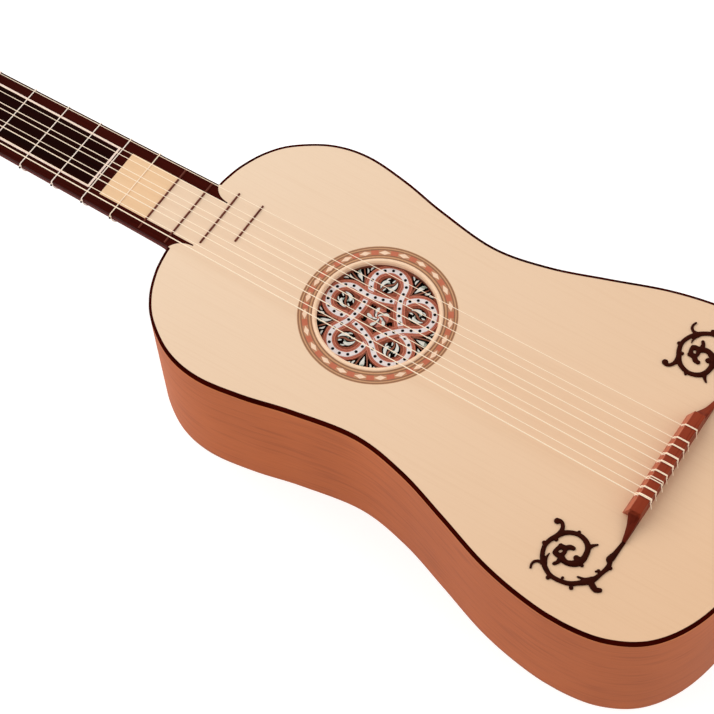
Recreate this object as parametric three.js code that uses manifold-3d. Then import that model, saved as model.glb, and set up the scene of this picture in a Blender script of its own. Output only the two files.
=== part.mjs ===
import * as THREE from "three";
import { mergeVertices } from "three/addons/utils/BufferGeometryUtils.js";
import Module from "manifold-3d";

// Baroque guitar with nine gut strings in five courses, lying on its flat back. Millimetres, +Z up.
// +X runs from the nut to the tail and +Y is the treble side. The origin is on the outer face of
// the back, under the middle of the body.

// Body
const bodyLength = 471;
const lowerWidth = 266;
const bodyDepth = 110;
const backThickness = 3;
const ribThickness = 3.2;
const plateThickness = 2.6;
const bindingWidth = 2;
const glueGap = 0.3;

// Neck and fingerboard
const neckLength = 307;
const neckWidthAtNut = 55;
const neckWidthAtBody = 62.4;
const neckDepthAtNut = 19;
const neckDepthAtBody = 23;
const heelLength = 58;
const tongueLength = 69;
const tongueWidth = 41.2;
const hornLength = 14.5;
const hornTipWidth = 0.8;
const inlaySetIn = 10.8;
const inlayWidth = 1.6;
const inlayDepth = 0.8;
const inlayFromNut = 5;
const inlayBeforeTongue = 11;
const inlayClearance = 0.1;
const nutThickness = 4.7;
const nutStandout = 2.6;

// Head and pegs
const headLength = 178;
const headWidth = 73;
const headThickness = 14;
const headTilt = THREE.MathUtils.degToRad(10);
const headFaceRise = 1.2;
const pegRowShare = 0.74;
const firstPegShare = 0.191;
const pegPitchShare = 0.146;
const pegRadiusAtButton = 4.1;
const pegRadiusAtTip = 3.1;
const pegStandout = 14;
const pegClearance = 0.1;
const pegCollarRadius = 5.6;
const pegCollarLength = 3;
const pegNeckRadius = 3;
const pegStemLength = 7;
const buttonWidth = 19;
const buttonLength = 17;
const buttonThickness = 6;
const windingHeight = 7;
const windingWidth = 4.4;
const windingThickness = 1.3;

// Strings and frets
const courseCount = 5;
const outerStringAtNut = 26.6;
const trebleStringAtNut = 24.4;
const coursePitchAtNut = 12.05;
const pairGapAtNut = 3.6;
const outerStringAtBridge = 30.5;
const coursePitchAtBridge = 14.43;
const pairGapAtBridge = 6.5;
const stringRadii = [0.32, 0.36, 0.36, 0.42, 0.42, 0.36, 0.5, 0.4, 0.55];
const stringClearance = 0.35;
const knotSpread = 0.65;
const tailLength = 5;
const gutFretCount = 8;
const gutFretRadius = 0.5;
const fretKnotRadius = 1.25;
const fretKnotDrop = 2.4;
const woodFretCount = 4;
const woodFretWidth = 1.7;
const woodFretHeight = 1.1;
const woodFretInset = 1;
const bodyFretTrebleReach = 32.5;
const bodyFretLength = 49.6;
const nextBodyFretShare = 0.716;

// Bridge and its scrolls. The bridge's place is a share of the body's length
const bridgePlaceShare = 0.8132;
const bridgeBlockLength = 86;
const bridgeBaseWidth = 13.2;
const bridgeTopWidth = 7.7;
const bridgeHeight = 11.5;
const stringHoleHeight = 8.2;
const bridgeSpan = 123.6;
const armTipWidth = 2.7;
const armTipHeight = 2.4;
const armRootHeight = 7.5;
const scrollReach = 46.4;
const scrollThickness = 2;

// Rose and its rings. The rose's place is a share of the body's length
const rosePlaceShare = 0.3335;
const holeRadius = 43.1;
const roseThickness = 1.2;
const roseSink = 4.4;
const roseWallThickness = 1.8;
const ribbonWidth = 3.9;
const ribbonRelief = 0.3;
const roseEyeRadius = 5.6;
const roseLeafHoleRadius = 2.5;
const roseSmallHoleRadius = 1.5;
const roseHeartHoleRadius = 1.9;
const beadOuterRadius = 45.8;
const beadHeight = 1.2;
const bandOuterRadius = 56.2;
const bandDepth = 0.8;
const bandClearance = 0.1;

// Inside the body. The braces' places are shares of its length
const braceThickness = 7;
const braceHeight = 16;
const upperBraceShare = 0.178;
const lowerBraceShare = 0.493;
const backBraceShare = 0.501;
const backBraceHeight = 12;
const neckBlockLength = 28;
const neckBlockWidth = 62;
const tailBlockLength = 15;
const tailBlockWidth = 70;

// Counts, and how far a cutter runs past what it cuts
const curveSteps = 2;
const roundSides = 16;
const gutSides = 6;
const smallSides = 10;
const ringSides = 48;
const overrun = 2;
const weldDistance = 1e-4;

// Levels and places that follow from the sizes above
const topLevel = bodyDepth;
const plateBottom = topLevel - plateThickness;
const bodyFront = -bodyLength / 2;
const nutX = bodyFront - neckLength;
const bridgeX = bodyFront + bridgePlaceShare * bodyLength;
const scaleLength = bridgeX - nutX;
const roseX = bodyFront + rosePlaceShare * bodyLength;
const neckHalfAtBody = neckWidthAtBody / 2;
const tongueHalf = tongueWidth / 2;
const pegRowHalf = (pegRowShare * headWidth) / 2;

const wasm = await Module();
wasm.setup();

const guitar = new THREE.Group();

const finishes = {
  spruce: { color: 0xecd0a8, roughness: 0.55, metalness: 0 },
  ribWood: { color: 0xb5683f, roughness: 0.4, metalness: 0 },
  ebony: { color: 0x2a1210, roughness: 0.35, metalness: 0 },
  bridgeWood: { color: 0x8a4028, roughness: 0.4, metalness: 0 },
  scrollWood: { color: 0x3a1a14, roughness: 0.5, metalness: 0 },
  bone: { color: 0xf1e6d0, roughness: 0.35, metalness: 0 },
  gut: { color: 0xf0e2c2, roughness: 0.4, metalness: 0 },
  fretWood: { color: 0x6e3a22, roughness: 0.5, metalness: 0 },
  terracotta: { color: 0xb0563a, roughness: 0.7, metalness: 0 },
  mosaic: { color: 0xc98a5c, roughness: 0.5, metalness: 0 },
  paleWood: { color: 0xf0d6ac, roughness: 0.5, metalness: 0 },
};

// A closed three.js geometry as a solid that can be joined and cut
function toSolid(geometry) {
  const bare = geometry.index ? geometry.toNonIndexed() : geometry.clone();
  bare.deleteAttribute("normal");
  bare.deleteAttribute("uv");
  const merged = mergeVertices(bare, weldDistance);
  const vertProperties = merged.attributes.position.array;
  const triVerts = new Uint32Array(merged.index.array);
  return new wasm.Manifold(new wasm.Mesh({ numProp: 3, vertProperties, triVerts }));
}

function toGeometry(solid) {
  const { numProp, numVert, vertProperties, triVerts } = solid.getMesh();
  const positions = new Float32Array(numVert * 3);
  for (let i = 0; i < numVert; i += 1) {
    positions.set(vertProperties.subarray(i * numProp, i * numProp + 3), i * 3);
  }
  const geometry = new THREE.BufferGeometry();
  geometry.setAttribute("position", new THREE.BufferAttribute(positions, 3));
  geometry.setIndex(new THREE.BufferAttribute(new Uint32Array(triVerts), 1));
  geometry.computeVertexNormals();
  return geometry;
}

function addPiece(name, shape, finish, parent = guitar) {
  const geometry = shape.isBufferGeometry ? shape : toGeometry(shape);
  const mesh = new THREE.Mesh(geometry, new THREE.MeshStandardMaterial(finishes[finish]));
  mesh.name = name;
  parent.add(mesh);
  return mesh;
}

const point = (x, y) => new THREE.Vector2(x, y);
const mirrored = (points) => points.map((p) => point(p.x, -p.y));

// A plan outline raised from one level to another
function prism(points, from, to) {
  const geometry = new THREE.ExtrudeGeometry(new THREE.Shape(points), {
    depth: to - from,
    bevelEnabled: false,
  });
  return geometry.translate(0, 0, from);
}

// A profile in X and Z, drawn out along Y
function crossPrism(points, fromY, toY) {
  const geometry = prism(points, 0, toY - fromY);
  return geometry.rotateX(Math.PI / 2).translate(0, toY, 0);
}

// A profile in Y and Z, drawn out along X
function lengthPrism(points, fromX, toX) {
  const geometry = prism(points, 0, toX - fromX);
  return geometry.rotateX(Math.PI / 2).rotateZ(Math.PI / 2).translate(fromX, 0, 0);
}

function disc(radius, from, to, x = 0, y = 0, sides = roundSides) {
  const geometry = new THREE.CylinderGeometry(radius, radius, to - from, sides);
  return geometry.rotateX(Math.PI / 2).translate(x, y, (from + to) / 2);
}

function ring(innerRadius, outerRadius, from, to) {
  const section = [
    point(innerRadius, from),
    point(outerRadius, from),
    point(outerRadius, to),
    point(innerRadius, to),
    point(innerRadius, from),
  ];
  return new THREE.LatheGeometry(section, ringSides).rotateX(Math.PI / 2);
}

// A strip of varying width along a line, closed as one outline
function ribbon(line, halfWidths) {
  const left = [];
  const right = [];
  line.forEach((p, i) => {
    const before = line[Math.max(i - 1, 0)];
    const after = line[Math.min(i + 1, line.length - 1)];
    const along = after.clone().sub(before).normalize();
    const across = point(-along.y, along.x).multiplyScalar(halfWidths[i]);
    left.push(p.clone().add(across));
    right.push(p.clone().sub(across));
  });
  return left.concat(right.reverse());
}

// A route whose tube has one ring at each chosen point
class Route extends THREE.CatmullRomCurve3 {
  getUtoTmapping(u) {
    return u;
  }
}

function tube(points, radius, sides = gutSides) {
  const section = new THREE.Shape();
  for (let i = 0; i < sides; i += 1) {
    const angle = (2 * Math.PI * i) / sides;
    const place = [radius * Math.cos(angle), radius * Math.sin(angle)];
    if (i === 0) section.moveTo(...place);
    else section.lineTo(...place);
  }
  return new THREE.ExtrudeGeometry(section, {
    steps: points.length - 1,
    extrudePath: new Route(points),
    bevelEnabled: false,
  });
}

// Half outline of the body's shoulder: shares of its length, and of the rise from the neck's edge
// to the upper bout
const upperBoutShare = 0.818;
const shoulderShares = [
  [0.0014, 0.088],
  [0.009, 0.291],
  [0.027, 0.531],
  [0.056, 0.737],
  [0.108, 0.931],
  [0.168, 1],
];

// The rest of the half outline to the tail: shares of body length and of half lower width
const sideShares = [
  [0.242, 0.786],
  [0.318, 0.725],
  [0.418, 0.673],
  [0.505, 0.722],
  [0.59, 0.823],
  [0.675, 0.929],
  [0.75, 0.985],
  [0.817, 1],
  [0.882, 0.962],
  [0.937, 0.845],
  [0.975, 0.63],
  [0.9945, 0.33],
  [1, 0],
];

// Outline points of the treble half, moved inwards by an inset
function halfOutline(inset) {
  const halfLower = lowerWidth / 2;
  const rise = upperBoutShare * halfLower - neckHalfAtBody;
  const place = (along, across) => point(bodyFront + along * bodyLength, across);
  const half = [
    place(0, neckHalfAtBody),
    ...shoulderShares.map(([along, share]) => place(along, neckHalfAtBody + share * rise)),
    ...sideShares.map(([along, share]) => place(along, share * halfLower)),
  ];
  const whole = half.concat(mirrored(half.slice(0, -1)).reverse());
  const samples = new THREE.SplineCurve(whole).getPoints(curveSteps * (whole.length - 1));
  const kept = samples.slice(0, curveSteps * (half.length - 1) + 1);
  return kept.map((p, i) => {
    const before = samples[Math.max(i - 1, 0)];
    const after = samples[i + 1];
    const along = after.clone().sub(before).normalize();
    const inward = i === 0 ? point(1, 0) : point(along.y, -along.x);
    return p.clone().add(inward.multiplyScalar(inset));
  });
}

function bodyOutline(inset) {
  const half = halfOutline(inset);
  return half.concat(mirrored(half.slice(0, -1)).reverse());
}

// Half width of the space inside the ribs at a place along the body
function innerHalfWidth(x) {
  const wall = halfOutline(ribThickness + glueGap);
  const j = Math.max(
    wall.findIndex((p) => p.x > x),
    1,
  );
  const share = (x - wall[j - 1].x) / (wall[j].x - wall[j - 1].x);
  return wall[j - 1].y + share * (wall[j].y - wall[j - 1].y);
}

// The curved edge between the soundboard and one point of the fingerboard, moved out by grow
function hornEdge(grow) {
  const reach = hornLength + grow;
  const curve = new THREE.QuadraticBezierCurve(
    point(bodyFront + grow, neckHalfAtBody + grow),
    point(bodyFront + reach / 4, tongueHalf + glueGap + 2 * hornTipWidth + grow),
    point(bodyFront + reach, tongueHalf + glueGap + hornTipWidth + grow),
  );
  return curve.getPoints(2 * curveSteps + 1);
}

function makeBack() {
  return prism(bodyOutline(0), 0, backThickness);
}

function makeRib(side) {
  const centreGap = glueGap / 2;
  const clip = (p) => point(p.x, Math.max(p.y, centreGap));
  const outer = [point(bodyFront, centreGap), ...halfOutline(0).map(clip)];
  const inner = [point(bodyFront + ribThickness, centreGap), ...halfOutline(ribThickness).map(clip)];
  const strip = outer.concat(inner.reverse());
  return prism(side > 0 ? strip : mirrored(strip), backThickness, plateBottom);
}

function makeBinding() {
  const outer = bodyOutline(0);
  const inner = bodyOutline(bindingWidth);
  return prism(outer.concat(inner.reverse()), plateBottom, topLevel);
}

// The space that one fingerboard point takes out of the soundboard
function hornSpace(side) {
  const innerEdge = tongueHalf;
  const outline = [
    point(bodyFront - overrun, innerEdge),
    point(bodyFront + hornLength + glueGap, innerEdge),
    ...hornEdge(glueGap).reverse(),
    point(bodyFront - overrun, neckHalfAtBody + glueGap),
  ];
  const cut = prism(side > 0 ? outline : mirrored(outline), plateBottom - overrun, topLevel + overrun);
  return toSolid(cut);
}

function makeSoundboard() {
  const plate = toSolid(prism(bodyOutline(bindingWidth + glueGap), plateBottom, topLevel));
  const tongueStart = bodyFront - tongueLength;
  const tongueEnd = bodyFront + bindingWidth + overrun;
  const tongue = toSolid(
    prism(
      [
        point(tongueStart, -tongueHalf),
        point(tongueEnd, -tongueHalf),
        point(tongueEnd, tongueHalf),
        point(tongueStart, tongueHalf),
      ],
      plateBottom,
      topLevel,
    ),
  );
  const hole = toSolid(
    disc(holeRadius, plateBottom - overrun, topLevel + overrun, roseX, 0, ringSides),
  );
  const channel = toSolid(
    ring(
      beadOuterRadius,
      bandOuterRadius + bandClearance,
      topLevel - bandDepth,
      topLevel + overrun,
    ).translate(roseX, 0, 0),
  );
  return plate
    .add(tongue)
    .subtract(hornSpace(1))
    .subtract(hornSpace(-1))
    .subtract(hole)
    .subtract(channel);
}

function makeRosetteBand() {
  const band = ring(
    beadOuterRadius + bandClearance,
    bandOuterRadius,
    topLevel - bandDepth,
    topLevel,
  );
  return band.translate(roseX, 0, 0);
}

function makeRoseBead() {
  const inner = holeRadius;
  const outer = beadOuterRadius - glueGap;
  const middle = (inner + outer) / 2;
  const shoulder = (outer - inner) / 4;
  const section = [
    point(inner, topLevel),
    point(outer, topLevel),
    point(middle + shoulder, topLevel + beadHeight),
    point(middle - shoulder, topLevel + beadHeight),
    point(inner, topLevel),
  ];
  return new THREE.LatheGeometry(section, ringSides).rotateX(Math.PI / 2).translate(roseX, 0, 0);
}

// One of five interlaced hooks of the rose, in shares of the hole's radius
const hookShares = [
  [-0.35, 0.13],
  [-0.35, 0],
  [-0.36, -0.14],
  [-0.39, -0.285],
  [-0.445, -0.41],
  [-0.5, -0.545],
  [-0.49, -0.685],
  [-0.42, -0.81],
  [-0.305, -0.885],
  [-0.165, -0.9],
  [-0.035, -0.85],
  [0.05, -0.735],
  [0.085, -0.6],
];
const hookCount = 5;
const eyeShares = [-0.21, -0.645];
const leafHoleShare = 0.86;
const smallHoleShare = 0.87;
const heartHoleShare = 0.17;
const smallHoleTurn = THREE.MathUtils.degToRad(10);

// The rose hangs under the soundboard in a low wall of its own, below the hole
function makeRose() {
  const top = topLevel - roseSink - ribbonRelief;
  const bottom = top - roseThickness;
  const wallInside = holeRadius + glueGap;
  const wallOutside = wallInside + roseWallThickness;
  let rose = toSolid(disc(wallOutside, bottom, top, 0, 0, ringSides));
  rose = rose.add(toSolid(ring(wallInside, wallOutside, bottom, plateBottom)));
  const line = hookShares.map(([a, b]) => point(a * holeRadius, b * holeRadius));
  const halfWidths = line.map(() => ribbonWidth / 2);
  const hook = prism(ribbon(line, halfWidths), bottom, top + ribbonRelief);
  const cutFrom = bottom - overrun;
  const cutTo = top + ribbonRelief + overrun;
  const hole = (radius, share, angle) =>
    toSolid(
      disc(
        radius,
        cutFrom,
        cutTo,
        share * holeRadius * Math.cos(angle),
        share * holeRadius * Math.sin(angle),
        smallSides,
      ),
    );
  const eyeAngle = Math.atan2(eyeShares[1], eyeShares[0]);
  const eyeShare = Math.hypot(...eyeShares);
  for (let i = 0; i < hookCount; i += 1) {
    const turn = (2 * Math.PI * i) / hookCount;
    const between = eyeAngle + turn + Math.PI / hookCount;
    rose = rose.subtract(hole(roseEyeRadius, eyeShare, eyeAngle + turn));
    rose = rose.subtract(hole(roseLeafHoleRadius, leafHoleShare, between));
    rose = rose.subtract(hole(roseSmallHoleRadius, smallHoleShare, between - smallHoleTurn));
    rose = rose.subtract(hole(roseSmallHoleRadius, smallHoleShare, between + smallHoleTurn));
    rose = rose.subtract(hole(roseHeartHoleRadius, heartHoleShare, between));
  }
  for (let i = 0; i < hookCount; i += 1) {
    rose = rose.add(toSolid(hook.clone().rotateZ((2 * Math.PI * i) / hookCount)));
  }
  return toGeometry(rose).translate(roseX, 0, 0);
}

// Half width of the neck at a place along the string length
function neckHalf(x) {
  const share = (x - nutX) / neckLength;
  return (neckWidthAtNut + share * (neckWidthAtBody - neckWidthAtNut)) / 2;
}

// Places of the neck's sections: a few along its shaft and more down the heel
function neckSectionPlaces() {
  const heelSteps = 6;
  const shaftSteps = 4;
  const start = nutX - nutThickness;
  const heelStart = bodyFront - heelLength;
  const places = [];
  for (let i = 0; i < shaftSteps; i += 1) {
    places.push(start + ((heelStart - start) * i) / shaftSteps);
  }
  for (let i = 0; i <= heelSteps; i += 1) {
    places.push(heelStart + ((heelLength - glueGap) * i) / heelSteps);
  }
  return places;
}

const neckPlaces = neckSectionPlaces();

// Depth of the neck's shaft below the fingerboard
function shaftDepth(x) {
  const share = (x - nutX) / neckLength;
  return neckDepthAtNut + share * (neckDepthAtBody - neckDepthAtNut);
}

// How far the heel's keel drops below the shaft at a section, down to the back
function sectionHeel(x) {
  const heelShare = Math.max(0, 1 + (x - bodyFront) / heelLength);
  return (plateBottom - backThickness - neckDepthAtBody) * heelShare ** 3;
}

// The same drop anywhere, straight from one section to the next
function heelDepth(x) {
  const found = neckPlaces.findIndex((place) => place >= x);
  const after = found === -1 ? neckPlaces.length - 1 : Math.max(found, 1);
  const [near, far] = [neckPlaces[after - 1], neckPlaces[after]];
  return THREE.MathUtils.mapLinear(x, near, far, sectionHeel(near), sectionHeel(far));
}

const neckSectionSteps = 12;
const heelSharpness = 5;

// Points of the neck's underside at a place, moved outwards by grow: round, with a narrow keel
function neckSection(x, grow = 0) {
  const half = neckHalf(x) + grow;
  const section = [];
  for (let i = 0; i <= neckSectionSteps; i += 1) {
    const angle = (Math.PI * i) / neckSectionSteps;
    const down = Math.sin(angle);
    const depth = (shaftDepth(x) + grow) * down + heelDepth(x) * down ** heelSharpness;
    section.push(point(half * Math.cos(angle), plateBottom - depth));
  }
  return section;
}

function makeNeck() {
  const rings = neckPlaces.map((x, i) =>
    neckSection(x).map((p) => {
      const lean = i === 0 ? (plateBottom - p.y) * Math.tan(headTilt) : 0;
      return new THREE.Vector3(x + lean, p.x, p.y);
    }),
  );
  return loft(rings);
}

// Rings of equal point counts joined into one closed skin
function loft(rings) {
  const count = rings[0].length;
  const positions = [];
  const indices = [];
  rings.forEach((ringPoints) => ringPoints.forEach((p) => positions.push(p.x, p.y, p.z)));
  for (let i = 0; i < rings.length - 1; i += 1) {
    for (let j = 0; j < count; j += 1) {
      const a = i * count + j;
      const b = i * count + ((j + 1) % count);
      indices.push(a, a + count, b, b, a + count, b + count);
    }
  }
  const last = (rings.length - 1) * count;
  for (let j = 1; j < count - 1; j += 1) {
    indices.push(0, j, j + 1);
    indices.push(last, last + j + 1, last + j);
  }
  const geometry = new THREE.BufferGeometry();
  geometry.setAttribute("position", new THREE.Float32BufferAttribute(positions, 3));
  geometry.setIndex(indices);
  const solid = toSolid(geometry);
  if (solid.volume() > 0) return solid;
  const flipped = [];
  for (let i = 0; i < indices.length; i += 3) {
    flipped.push(indices[i], indices[i + 2], indices[i + 1]);
  }
  geometry.setIndex(flipped);
  return toSolid(geometry);
}

// The U-shaped line of the fingerboard, wider by grow on each side
function inlayOutline(grow) {
  const start = nutX + inlayFromNut - grow;
  const end = bodyFront - tongueLength - inlayBeforeTongue + inlayWidth / 2 + grow;
  const reach = neckHalf(end) - inlaySetIn;
  const outer = reach + inlayWidth / 2 + grow;
  const inner = reach - inlayWidth / 2 - grow;
  const innerEnd = end - inlayWidth - 2 * grow;
  return [
    point(start, outer),
    point(start, inner),
    point(innerEnd, inner),
    point(innerEnd, -inner),
    point(start, -inner),
    point(start, -outer),
    point(end, -outer),
    point(end, outer),
  ];
}

function makeFingerboard() {
  const notchHalf = tongueHalf + glueGap;
  const notchStart = bodyFront - tongueLength - glueGap;
  const trebleSide = [
    point(notchStart, notchHalf),
    point(bodyFront + hornLength, notchHalf),
    ...hornEdge(0).reverse(),
    point(nutX, neckHalf(nutX)),
  ];
  const outline = trebleSide.concat(mirrored(trebleSide).reverse());
  const board = toSolid(prism(outline, plateBottom, topLevel));
  const groove = prism(inlayOutline(inlayClearance), topLevel - inlayDepth, topLevel + overrun);
  return board.subtract(toSolid(groove));
}

function makeInlay() {
  return prism(inlayOutline(0), topLevel - inlayDepth, topLevel);
}

function makeNut() {
  const back = nutX - nutThickness;
  const front = nutX - glueGap;
  const crown = topLevel + nutStandout;
  const profile = [
    point(back, plateBottom),
    point(front, plateBottom),
    point(front, crown - nutThickness / 8),
    point(front - nutThickness / 8, crown),
    point(back + nutThickness / 2, crown),
    point(back, topLevel + nutStandout / 2),
  ];
  const half = neckHalf(nutX);
  return crossPrism(profile, -half, half);
}

// Half outline of the head from the nut: shares of head length and half head width
const headShares = [
  [0.05, 0.8],
  [0.11, 0.895],
  [0.2, 0.945],
  [0.45, 0.955],
  [0.75, 0.985],
  [0.86, 1],
  [0.905, 0.93],
  [0.9, 0.8],
  [0.925, 0.66],
  [0.968, 0.5],
  [0.975, 0.32],
  [0.99, 0.14],
  [1, 0],
];

// The head lies in its own leaning group, with its front face at level zero and the nut at x zero
const headGroup = new THREE.Group();
headGroup.position.set(nutX - nutThickness - glueGap, 0, plateBottom + headFaceRise);
headGroup.rotation.y = -headTilt;
headGroup.updateMatrix();
guitar.add(headGroup);

function pegX(index) {
  return -(firstPegShare + index * pegPitchShare) * headLength;
}

// Shaft radius of a peg at a level of the leaning group
function pegRadius(level) {
  const share = (level + headThickness) / (headThickness + pegStandout);
  return pegRadiusAtButton + share * (pegRadiusAtTip - pegRadiusAtButton);
}

function makeHead(pegPlaces) {
  const half = headShares.map(([along, across]) =>
    point(-along * headLength, (across * headWidth) / 2),
  );
  half.unshift(point(0, neckHalf(nutX)));
  const curve = new THREE.SplineCurve(half);
  const treble = curve.getPoints(curveSteps * (half.length - 1));
  const outline = treble.concat(mirrored(treble.slice(0, -1)).reverse());
  let head = toSolid(prism(outline, -headThickness, 0));
  const roomForFlats = 1 / Math.cos(Math.PI / roundSides);
  for (const { x, y } of pegPlaces) {
    const low = -headThickness - overrun;
    const bore = new THREE.CylinderGeometry(
      (pegRadius(overrun) + pegClearance) * roomForFlats,
      (pegRadius(low) + pegClearance) * roomForFlats,
      overrun - low,
      roundSides,
    );
    bore.rotateX(Math.PI / 2).translate(x, y, (overrun + low) / 2);
    head = head.subtract(toSolid(bore));
  }
  return head;
}

// A tapered peg pushed in from behind, with a flat heart-shaped button for the fingers
function makePeg() {
  const behind = -headThickness - glueGap;
  const collarEnd = behind - pegCollarLength;
  const buttonStart = collarEnd - pegStemLength;
  const profile = [
    point(0, buttonStart - buttonThickness / 2),
    point(pegNeckRadius, buttonStart - buttonThickness / 2),
    point(pegNeckRadius, collarEnd),
    point(pegCollarRadius, collarEnd),
    point(pegCollarRadius, behind),
    point(pegRadius(behind), behind),
    point(pegRadiusAtTip, pegStandout),
    point(0, pegStandout),
  ];
  const shaft = toSolid(new THREE.LatheGeometry(profile, roundSides).rotateX(Math.PI / 2));
  const halfWidth = buttonWidth / 2;
  const outline = new THREE.Shape();
  outline.moveTo(0, buttonStart);
  outline.bezierCurveTo(
    halfWidth,
    buttonStart + buttonLength / 8,
    halfWidth * 1.3,
    buttonStart - buttonLength,
    0,
    buttonStart - buttonLength,
  );
  outline.bezierCurveTo(
    -halfWidth * 1.3,
    buttonStart - buttonLength,
    -halfWidth,
    buttonStart + buttonLength / 8,
    0,
    buttonStart,
  );
  const halfButton = buttonThickness / 2;
  const button = crossPrism(outline.getPoints(5).slice(0, -1), -halfButton, halfButton);
  return toGeometry(shaft.add(toSolid(button)));
}

function makeWinding() {
  const bottom = windingHeight - windingWidth / 2;
  const top = windingHeight + windingWidth / 2;
  const inner = pegRadius(bottom) + glueGap;
  const outer = inner + windingThickness;
  const section = [
    point(inner, bottom),
    point(outer, bottom),
    point(outer, top),
    point(inner, top),
    point(inner, bottom),
  ];
  return new THREE.LatheGeometry(section, roundSides).rotateX(Math.PI / 2);
}

const windingReach = pegRadius(windingHeight - windingWidth / 2) + glueGap + windingThickness;

// Strings from the chanterelle to the lowest: which side, which peg, and where they lie across
function stringPlan() {
  const plan = [];
  for (let course = 0; course < courseCount; course += 1) {
    const members = course === 0 ? [0] : [1, -1];
    for (const member of members) {
      const pairAtNut = outerStringAtNut - course * coursePitchAtNut + (member * pairGapAtNut) / 2;
      const atNut = course === 0 ? trebleStringAtNut : pairAtNut;
      const atBridge =
        outerStringAtBridge - course * coursePitchAtBridge + (member * pairGapAtBridge) / 2;
      plan.push({ atNut, atBridge, radius: stringRadii[plan.length] });
    }
  }
  const trebleCount = Math.floor(plan.length / 2);
  plan.forEach((string, i) => {
    string.side = i < trebleCount ? 1 : -1;
    string.peg = i < trebleCount ? i : plan.length - 1 - i;
    string.name = `string_${i + 1}`;
  });
  return plan;
}

const bridgeFront = bridgeX - (bridgeBaseWidth - bridgeTopWidth);
const bridgeBack = bridgeFront + bridgeBaseWidth;
const bridgeTopFront = bridgeBack - bridgeTopWidth;
const bridgeTop = topLevel + bridgeHeight;

// Where the bridge's sloping front lies at a level
function bridgeFrontAt(level) {
  return bridgeFront + ((level - topLevel) / bridgeHeight) * (bridgeTopFront - bridgeFront);
}

// One string from its peg, over the nut, through the bridge and round itself, to its cut tail
function stringRoute({ atNut, atBridge, radius, side, peg }) {
  const tangent = pegRowHalf - windingReach - stringClearance - radius;
  const start = new THREE.Vector3(pegX(peg), side * tangent, windingHeight);
  start.applyMatrix4(headGroup.matrix);
  const c = radius + stringClearance;
  const nutLevel = topLevel + nutStandout + c;
  const holeLevel = topLevel + stringHoleHeight;
  const s = radius + knotSpread;
  const beside = 2 * radius + knotSpread;
  const overTop = bridgeTop + c;
  const behind = bridgeBack + c;
  const knotX = bridgeFrontAt(holeLevel) - 2 * c;
  const upperX = bridgeFrontAt(bridgeTop) - 1.6 * c;
  const upperLevel = bridgeTop - c;
  const at = (x, y, z) => new THREE.Vector3(x, atBridge + y, z);
  return [
    start,
    new THREE.Vector3(nutX - nutThickness / 2, atNut, nutLevel),
    new THREE.Vector3(nutX - nutThickness / 8, atNut, nutLevel),
    at(knotX - 6 * c, 0, holeLevel),
    at(knotX, 0, holeLevel),
    at(behind - c, 0, holeLevel),
    at(behind, s / 2, holeLevel + c / 2),
    at(behind, s, holeLevel + 2 * c),
    at(behind, s, bridgeTop),
    at(behind - c, s, overTop),
    at(bridgeTopFront, s, overTop),
    at(upperX, s, upperLevel),
    at(knotX, beside, holeLevel + c),
    at(knotX - c / 2, beside, holeLevel - c),
    at(knotX - c / 2, 0, holeLevel - beside),
    at(knotX - c / 2, -beside, holeLevel - c),
    at(knotX, -beside, holeLevel + c),
    at(upperX, -s, upperLevel),
    at(bridgeTopFront, -s, overTop),
    at(behind - c, -s, overTop),
    at(behind, -s, bridgeTop),
    at(behind, -beside, holeLevel + 2 * c),
    at(behind + c / 2, -beside - c / 2, holeLevel),
    at(behind + 2 * c, -beside - c, holeLevel - tailLength),
  ];
}

// Least distance between runs of the knot that aren't neighbours, less the gut's own thickness
function leastGap(points, radius) {
  const first = 4;
  let least = Infinity;
  for (let i = first; i < points.length - 1; i += 1) {
    for (let j = i + 3; j < points.length - 1; j += 1) {
      for (let a = 0; a <= 4; a += 1) {
        for (let b = 0; b <= 4; b += 1) {
          const p = points[i].clone().lerp(points[i + 1], a / 4);
          const q = points[j].clone().lerp(points[j + 1], b / 4);
          least = Math.min(least, p.distanceTo(q) - 2 * radius);
        }
      }
    }
  }
  return least;
}

function makeBridge(plan) {
  const half = bridgeBlockLength / 2;
  const section = [
    point(bridgeFront, topLevel),
    point(bridgeBack, topLevel),
    point(bridgeBack, bridgeTop),
    point(bridgeTopFront, bridgeTop),
  ];
  let bridge = toSolid(crossPrism(section, -half, half));
  const root = half - overrun;
  const tip = bridgeSpan / 2;
  const run = tip - half;
  const plan2d = [
    point(bridgeFront + bridgeBaseWidth * 0.32, root),
    point(bridgeFront + bridgeBaseWidth * 0.32, half),
    point(bridgeFront + bridgeBaseWidth * 0.45, half + run * 0.2),
    point(bridgeFront + bridgeBaseWidth * 0.6, half + run * 0.45),
    point(bridgeFront + bridgeBaseWidth * 0.72, half + run * 0.75),
    point(bridgeBack - armTipWidth, tip),
    point(bridgeBack, tip),
    point(bridgeBack, root),
  ];
  const heightProfile = [
    point(root, topLevel),
    point(tip, topLevel),
    point(tip, topLevel + armTipHeight),
    point(half + run * 0.55, topLevel + armTipHeight + (armRootHeight - armTipHeight) * 0.25),
    point(half, topLevel + armRootHeight),
    point(root, topLevel + armRootHeight),
  ];
  const arm = toSolid(prism(plan2d, topLevel, bridgeTop)).intersect(
    toSolid(lengthPrism(heightProfile, bridgeFront - overrun, bridgeBack + overrun)),
  );
  bridge = bridge.add(arm);
  bridge = bridge.add(arm.mirror([0, 1, 0]));
  for (const { atBridge, radius } of plan) {
    const bore = new THREE.CylinderGeometry(
      radius + stringClearance,
      radius + stringClearance,
      bridgeBaseWidth + 2 * overrun,
      gutSides,
    );
    bore.rotateZ(Math.PI / 2);
    bore.translate((bridgeFront + bridgeBack) / 2, atBridge, topLevel + stringHoleHeight);
    bridge = bridge.subtract(toSolid(bore));
  }
  return bridge;
}

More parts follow.
